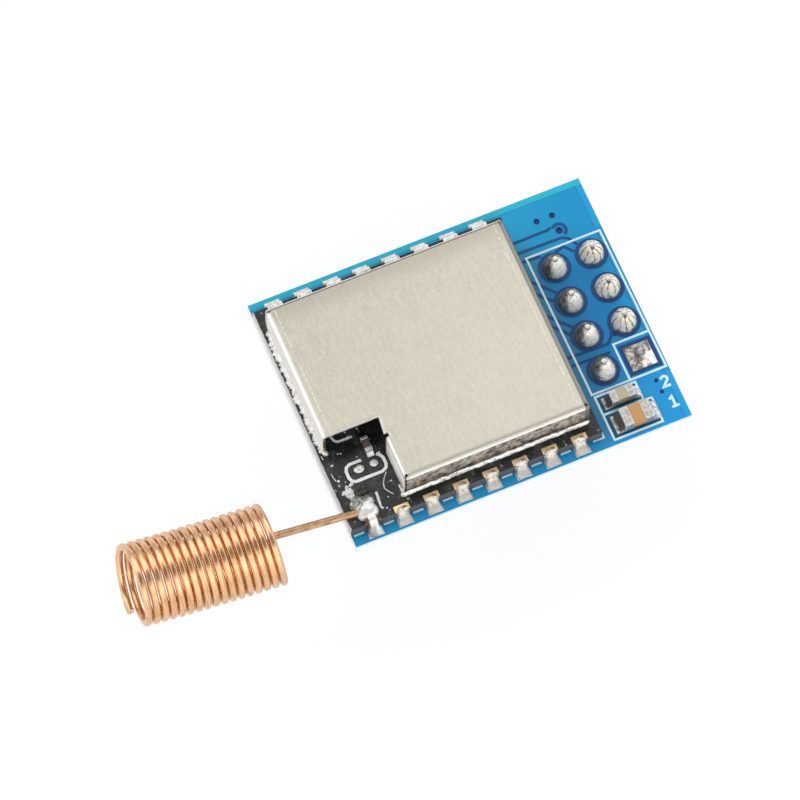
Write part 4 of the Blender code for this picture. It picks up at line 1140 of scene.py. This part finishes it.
def flux_marks():
    """Dried flux round the hand-made joint: a pale crust and a dark glossy drop."""
    crust = [
        ((0.87, 3.24, RADIO_TOP), (0.32, 0.28, 0.16), 20),
        ((0.61, 3.27, RADIO_TOP), (0.20, 0.15, 0.10)),
        ((0.90, 2.95, RADIO_TOP), (0.24, 0.22, 0.13)),
        ((0.88, 3.59, RADIO_TOP), (0.10, 0.15, 0.07)),
        ((1.18, 3.66, RADIO_TOP), (0.20, 0.09, 0.06), 30),
        ((1.50, 3.74, RADIO_TOP), (0.22, 0.06, 0.05), -5),
    ]
    blended("flux_crust", crust, CRUST, 0.02, 1, 0.08, 12.0)
    drop = [
        ((1.62, 2.95, RADIO_TOP), (0.42, 0.24, 0.16), 10),
        ((1.32, 2.85, RADIO_TOP), (0.24, 0.22, 0.14)),
        ((1.85, 3.28, RADIO_TOP), (0.20, 0.14, 0.10)),
        ((2.10, 2.55, RADIO_TOP), (0.24, 0.30, 0.16), 20),
        ((0.50, 2.55, RADIO_TOP), (0.16, 0.24, 0.08)),
    ]
    blended("flux_drop", drop, DROP, 0.02, 2, 0.04, 8.0)


def seam(name, node, start, end, outward, width, height, jagged):
    """A solder line along the foot of a can wall, with an uneven outer edge."""
    start = Vector(start)
    end = Vector(end)
    count = int((end - start).length / 0.06)
    across = 8
    grid = []
    for i in range(count + 1):
        foot = start.lerp(end, i / count)
        uneven = wave(foot.x * 1.7, foot.y * 1.7, 4.0) + 0.8 * wave(foot.x * 8.0, foot.y * 8.0, 9.0)
        reach = width * (1 + jagged * uneven)
        crown = height * (1 + 0.5 * wave(foot.x * 3.0, foot.y * 3.0, 1.0))
        taper = min(1.0, 0.35 + min(i, count - i) * 0.2)
        row = []
        for j in range(across + 1):
            u = j / across
            x, y = foot + Vector(outward) * reach * u * taper
            lump = 0.03 * wave(x * 6.0, y * 6.0, 2.0)
            rise = crown * taper * (1 - u ** 1.7) + lump * math.sin(math.pi * u)
            row.append((x, y, RADIO_TOP + 0.004 + rise, RADIO_TOP))
        grid.append(row)
    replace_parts(piece(name, grid_solid(grid), LOOKS["solder"], 70.0), node)


def seams():
    """The solder lines along the can's front and left walls, their ends and the turn round the front corner."""
    front = CAN_LOW.y
    left = CAN_LOW.x
    low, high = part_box("shield_bead_front")
    corner = from_front(low).x - NOTCH_WALL_SHIFT
    end = (from_front(high).x, front)
    seam("front_bead", "shield_bead_front", (corner, front), end, (0.0, -1.0), 0.19, 0.18, 0.25)
    turn = [
        ((corner + 0.08, front - 0.03, RADIO_TOP), (0.25, 0.19, 0.19)),
        ((corner + 0.36, front - 0.05, RADIO_TOP), (0.24, 0.15, 0.16)),
        ((corner + 0.03, front + 0.22, RADIO_TOP), (0.10, 0.22, 0.14)),
        ((corner + 0.02, front + 0.52, RADIO_TOP), (0.08, 0.20, 0.12)),
    ]
    blended("corner_bead", turn, LOOKS["solder"], 0.02, 1, 0.02, 8.0)
    low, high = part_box("shield_bead_left")
    near = from_front(low).y
    end = (left, from_front(high).y)
    seam("left_bead", "shield_bead_left", (left, near), end, (-1.0, 0.0), 0.27, 0.28, 0.6)
    ball = ((left + 0.10, near - 0.10, RADIO_TOP + 0.10), (0.20, 0.20, 0.19))
    blended("left_bead_end", [ball], LOOKS["solder"], 0.02, 1, 0.03, 8.0)


def solder_joints():
    for index in range(2, CONTACTS + 1):
        front_joint(index)
    for index in range(1, CONTACTS + 1):
        softened("back_solder_%d" % index, "edge_joint_back_%d" % index, EDGE_SOLDER, 0.025, 5, 0.03, 3.5)
    antenna_joint()
    flux_marks()
    seams()
    for side in ("left", "right"):
        softened("spare_solder_" + side, "spare_pad_" + side, LOOKS["solder"], 0.02, 3, 0.03, 6.0)
        for size in ("large", "small"):
            node = "%s_capacitor_fillet_%s" % (size, side)
            softened("%s_fillet_%s" % (size, side), node, FILLET_SOLDER, 0.025, 3, 0.03, 5.0)
    softened("notch_fillet", "notch_chip_fillet", LOOKS["solder"], 0.02, 2, 0.02, 6.0)


def header_pins():
    """The pins with rounded edges and a small round tip above the solder."""
    spokes = 40
    for number, (x, y) in enumerate(PIN_PLACES, 1):
        low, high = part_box("header_pin_%d" % number)
        bottom = from_front(low).z
        top = from_front(high).z
        if number == 1:
            top = SQUARE_PIN_TOP
        half = from_front(high).x - x
        rows = (
            (bottom, 0.45, 3.0), (bottom + 0.35, 1.0, 9.0), (0.1, 1.0, 9.0), (top * 0.5, 0.78, 3.0),
            (top * 0.7, 0.60, 2.0), (top - 0.05, 0.58, 2.0), (top - 0.01, 0.52, 2.0), (top, 0.34, 2.0),
        )
        work = bmesh.new()
        rings = []
        for z, share, power in rows:
            ring = []
            for j in range(spokes):
                angle = 2 * math.pi * j / spokes
                wide = math.cos(angle)
                deep = math.sin(angle)
                reach = half * share / (abs(wide) ** power + abs(deep) ** power) ** (1 / power)
                ring.append(work.verts.new(spot(x + wide * reach, y + deep * reach, z)))
            rings.append(ring)
        close_tube(work, rings)
        made = piece("pin_%d" % number, work, LOOKS["pin_metal"], 50.0)
        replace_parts(made, "header_pin_%d" % number)


def close_tube(work, rings):
    """Faces between matching rings of points, and a cap at each end."""
    for first, second in zip(rings, rings[1:]):
        for j in range(len(first)):
            k = (j + 1) % len(first)
            work.faces.new((first[j], first[k], second[k], second[j]))
    work.faces.new(rings[0])
    work.faces.new(rings[-1])
    bmesh.ops.recalc_face_normals(work, faces=work.faces)


def pin_dome(number, x, y, material, crinkle):
    """Solder round one header pin, with the pin's tip standing out of it."""
    low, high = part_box("pin_joint_%d" % number)
    land = (high.x - low.x) / MM / 2
    square = number == 1
    tip = from_front(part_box("header_pin_%d" % number)[1]).z
    rings = 40
    spokes = 120
    inner = 0.15
    outer = 0.97
    work = bmesh.new()
    grid = []
    for i in range(rings + 1):
        share = i / rings
        within = min(1.0, share / outer)
        row = []
        for j in range(spokes):
            angle = 2 * math.pi * j / spokes
            wide = math.cos(angle)
            deep = math.sin(angle)
            edge = land / max(abs(wide), abs(deep)) if square else land
            radius = inner + (edge - inner) * share
            px = x + radius * wide
            py = y + radius * deep
            if square:
                nub = 0.5 * max(0.0, 1 - (radius / 0.34) ** 2) ** 0.5
                height = COPPER + 0.45 * (1 - share) ** 0.9 + nub
            else:
                height = COPPER + (tip - 0.16 - COPPER) * (1 - within ** 1.9) ** 0.72
            bend = 5.0 * wave(wide * 1.4, deep * 1.4, x + y)
            fold = math.sin(angle * 9 + bend) * (0.7 + 0.6 * wave(share * 1.5, angle, y))
            lumps = 0.07 * wave(px * 2.6, py * 2.6, 3.0) + 0.025 * wave(px * 8.0, py * 8.0, 1.0)
            height += math.sin(math.pi * within) * (crinkle * fold + lumps)
            row.append(work.verts.new(spot(px, py, min(max(height, COPPER), tip - 0.06))))
        grid.append(row)
    level = spot(0, 0, COPPER - 0.02).z
    grid.append([work.verts.new((vertex.co.x, vertex.co.y, level)) for vertex in grid[-1]])
    close_tube(work, grid)
    made = piece("pin_solder_%d" % number, work, material, 70.0)
    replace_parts(made, "pin_joint_%d" % number)


def pin_domes():
    for number, (x, y) in enumerate(PIN_PLACES, 1):
        if number == 1:
            pin_dome(number, x, y, SQUARE_SOLDER, 0.05)
        elif number % 2:
            pin_dome(number, x, y, OUTER_SOLDER, 0.045)
        else:
            pin_dome(number, x, y, INNER_SOLDER, 0.015)


# Stage, light and camera

def floor():
    """A plain white sheet under the pins."""
    bpy.ops.mesh.primitive_plane_add(size=1.2, location=(0.0, 0.0, cad_box[0].z - FLOOR_GAP))
    sheet = bpy.context.active_object
    sheet.name = "floor"
    open_material("floor_white")
    nodes = current["tree"].nodes
    connect(nodes["Principled BSDF"], {"Base Color": (0.92, 0.92, 0.92, 1.0), "Roughness": 0.9})
    seen = times(add("ShaderNodeLightPath").outputs["Is Camera Ray"], 0.88)
    white = add("ShaderNodeEmission", {"Color": (1.0, 1.0, 1.0, 1.0), "Strength": 1.03}).outputs[0]
    both = add("ShaderNodeMixShader", {0: seen, 1: nodes["Principled BSDF"].outputs[0], 2: white})
    connect(nodes["Material Output"], {"Surface": both.outputs[0]})
    sheet.data.materials.append(current["material"])


def studio():
    """Soft boxes behind and in front, with a dimmer gap overhead; angles run from overhead to the front."""
    world = bpy.data.worlds.new("studio")
    bpy.context.scene.world = world
    world.use_nodes = True
    world.node_tree.nodes.clear()
    current["tree"] = world.node_tree
    x, y, z = apart(add("ShaderNodeTexCoord").outputs["Generated"])
    lean = maths("DIVIDE", maths("ARCTAN2", times(y, -1.0), z), math.radians(1))
    level = AMBIENT
    for low, high, soft, strength in SOFT_BOXES:
        level = plus(level, times(window(lean, low, high, soft), strength - AMBIENT))
    level = blend_value(ramp(maths("ABSOLUTE", x), 0.98, 0.72), SIDES, level)
    seen = add("ShaderNodeLightPath").outputs["Is Camera Ray"]
    shown = blend_value(seen, level, 1.0)
    back = add("ShaderNodeBackground", {"Color": (1.0, 1.0, 1.0, 1.0), "Strength": shown})
    connect(add("ShaderNodeOutputWorld"), {"Surface": back.outputs[0]})


def camera():
    azimuth = math.radians(CAMERA_AZIMUTH)
    elevation = math.radians(CAMERA_ELEVATION)
    away = Vector((math.sin(azimuth) * math.cos(elevation), -math.cos(azimuth) * math.cos(elevation),
                   math.sin(elevation)))
    data = bpy.data.cameras.new("camera")
    data.lens = CAMERA_LENS
    data.sensor_width = 36.0
    data.clip_start = 0.01
    data.clip_end = 10.0
    made = linked("camera", data)
    made.location = spot(*CAMERA_AIM) + away * CAMERA_DISTANCE * MM
    made.rotation_euler = (-away).to_track_quat("-Z", "Y").to_euler()
    bpy.context.scene.camera = made


bpy.context.scene.view_settings.view_transform = "Standard"
dress_cad_nodes()
carrier_print()
radio_print()
flux_trails()
copper_gaps()
via_holes()
antenna()
shield_can()
solder_joints()
header_pins()
pin_domes()
floor()
studio()
camera()
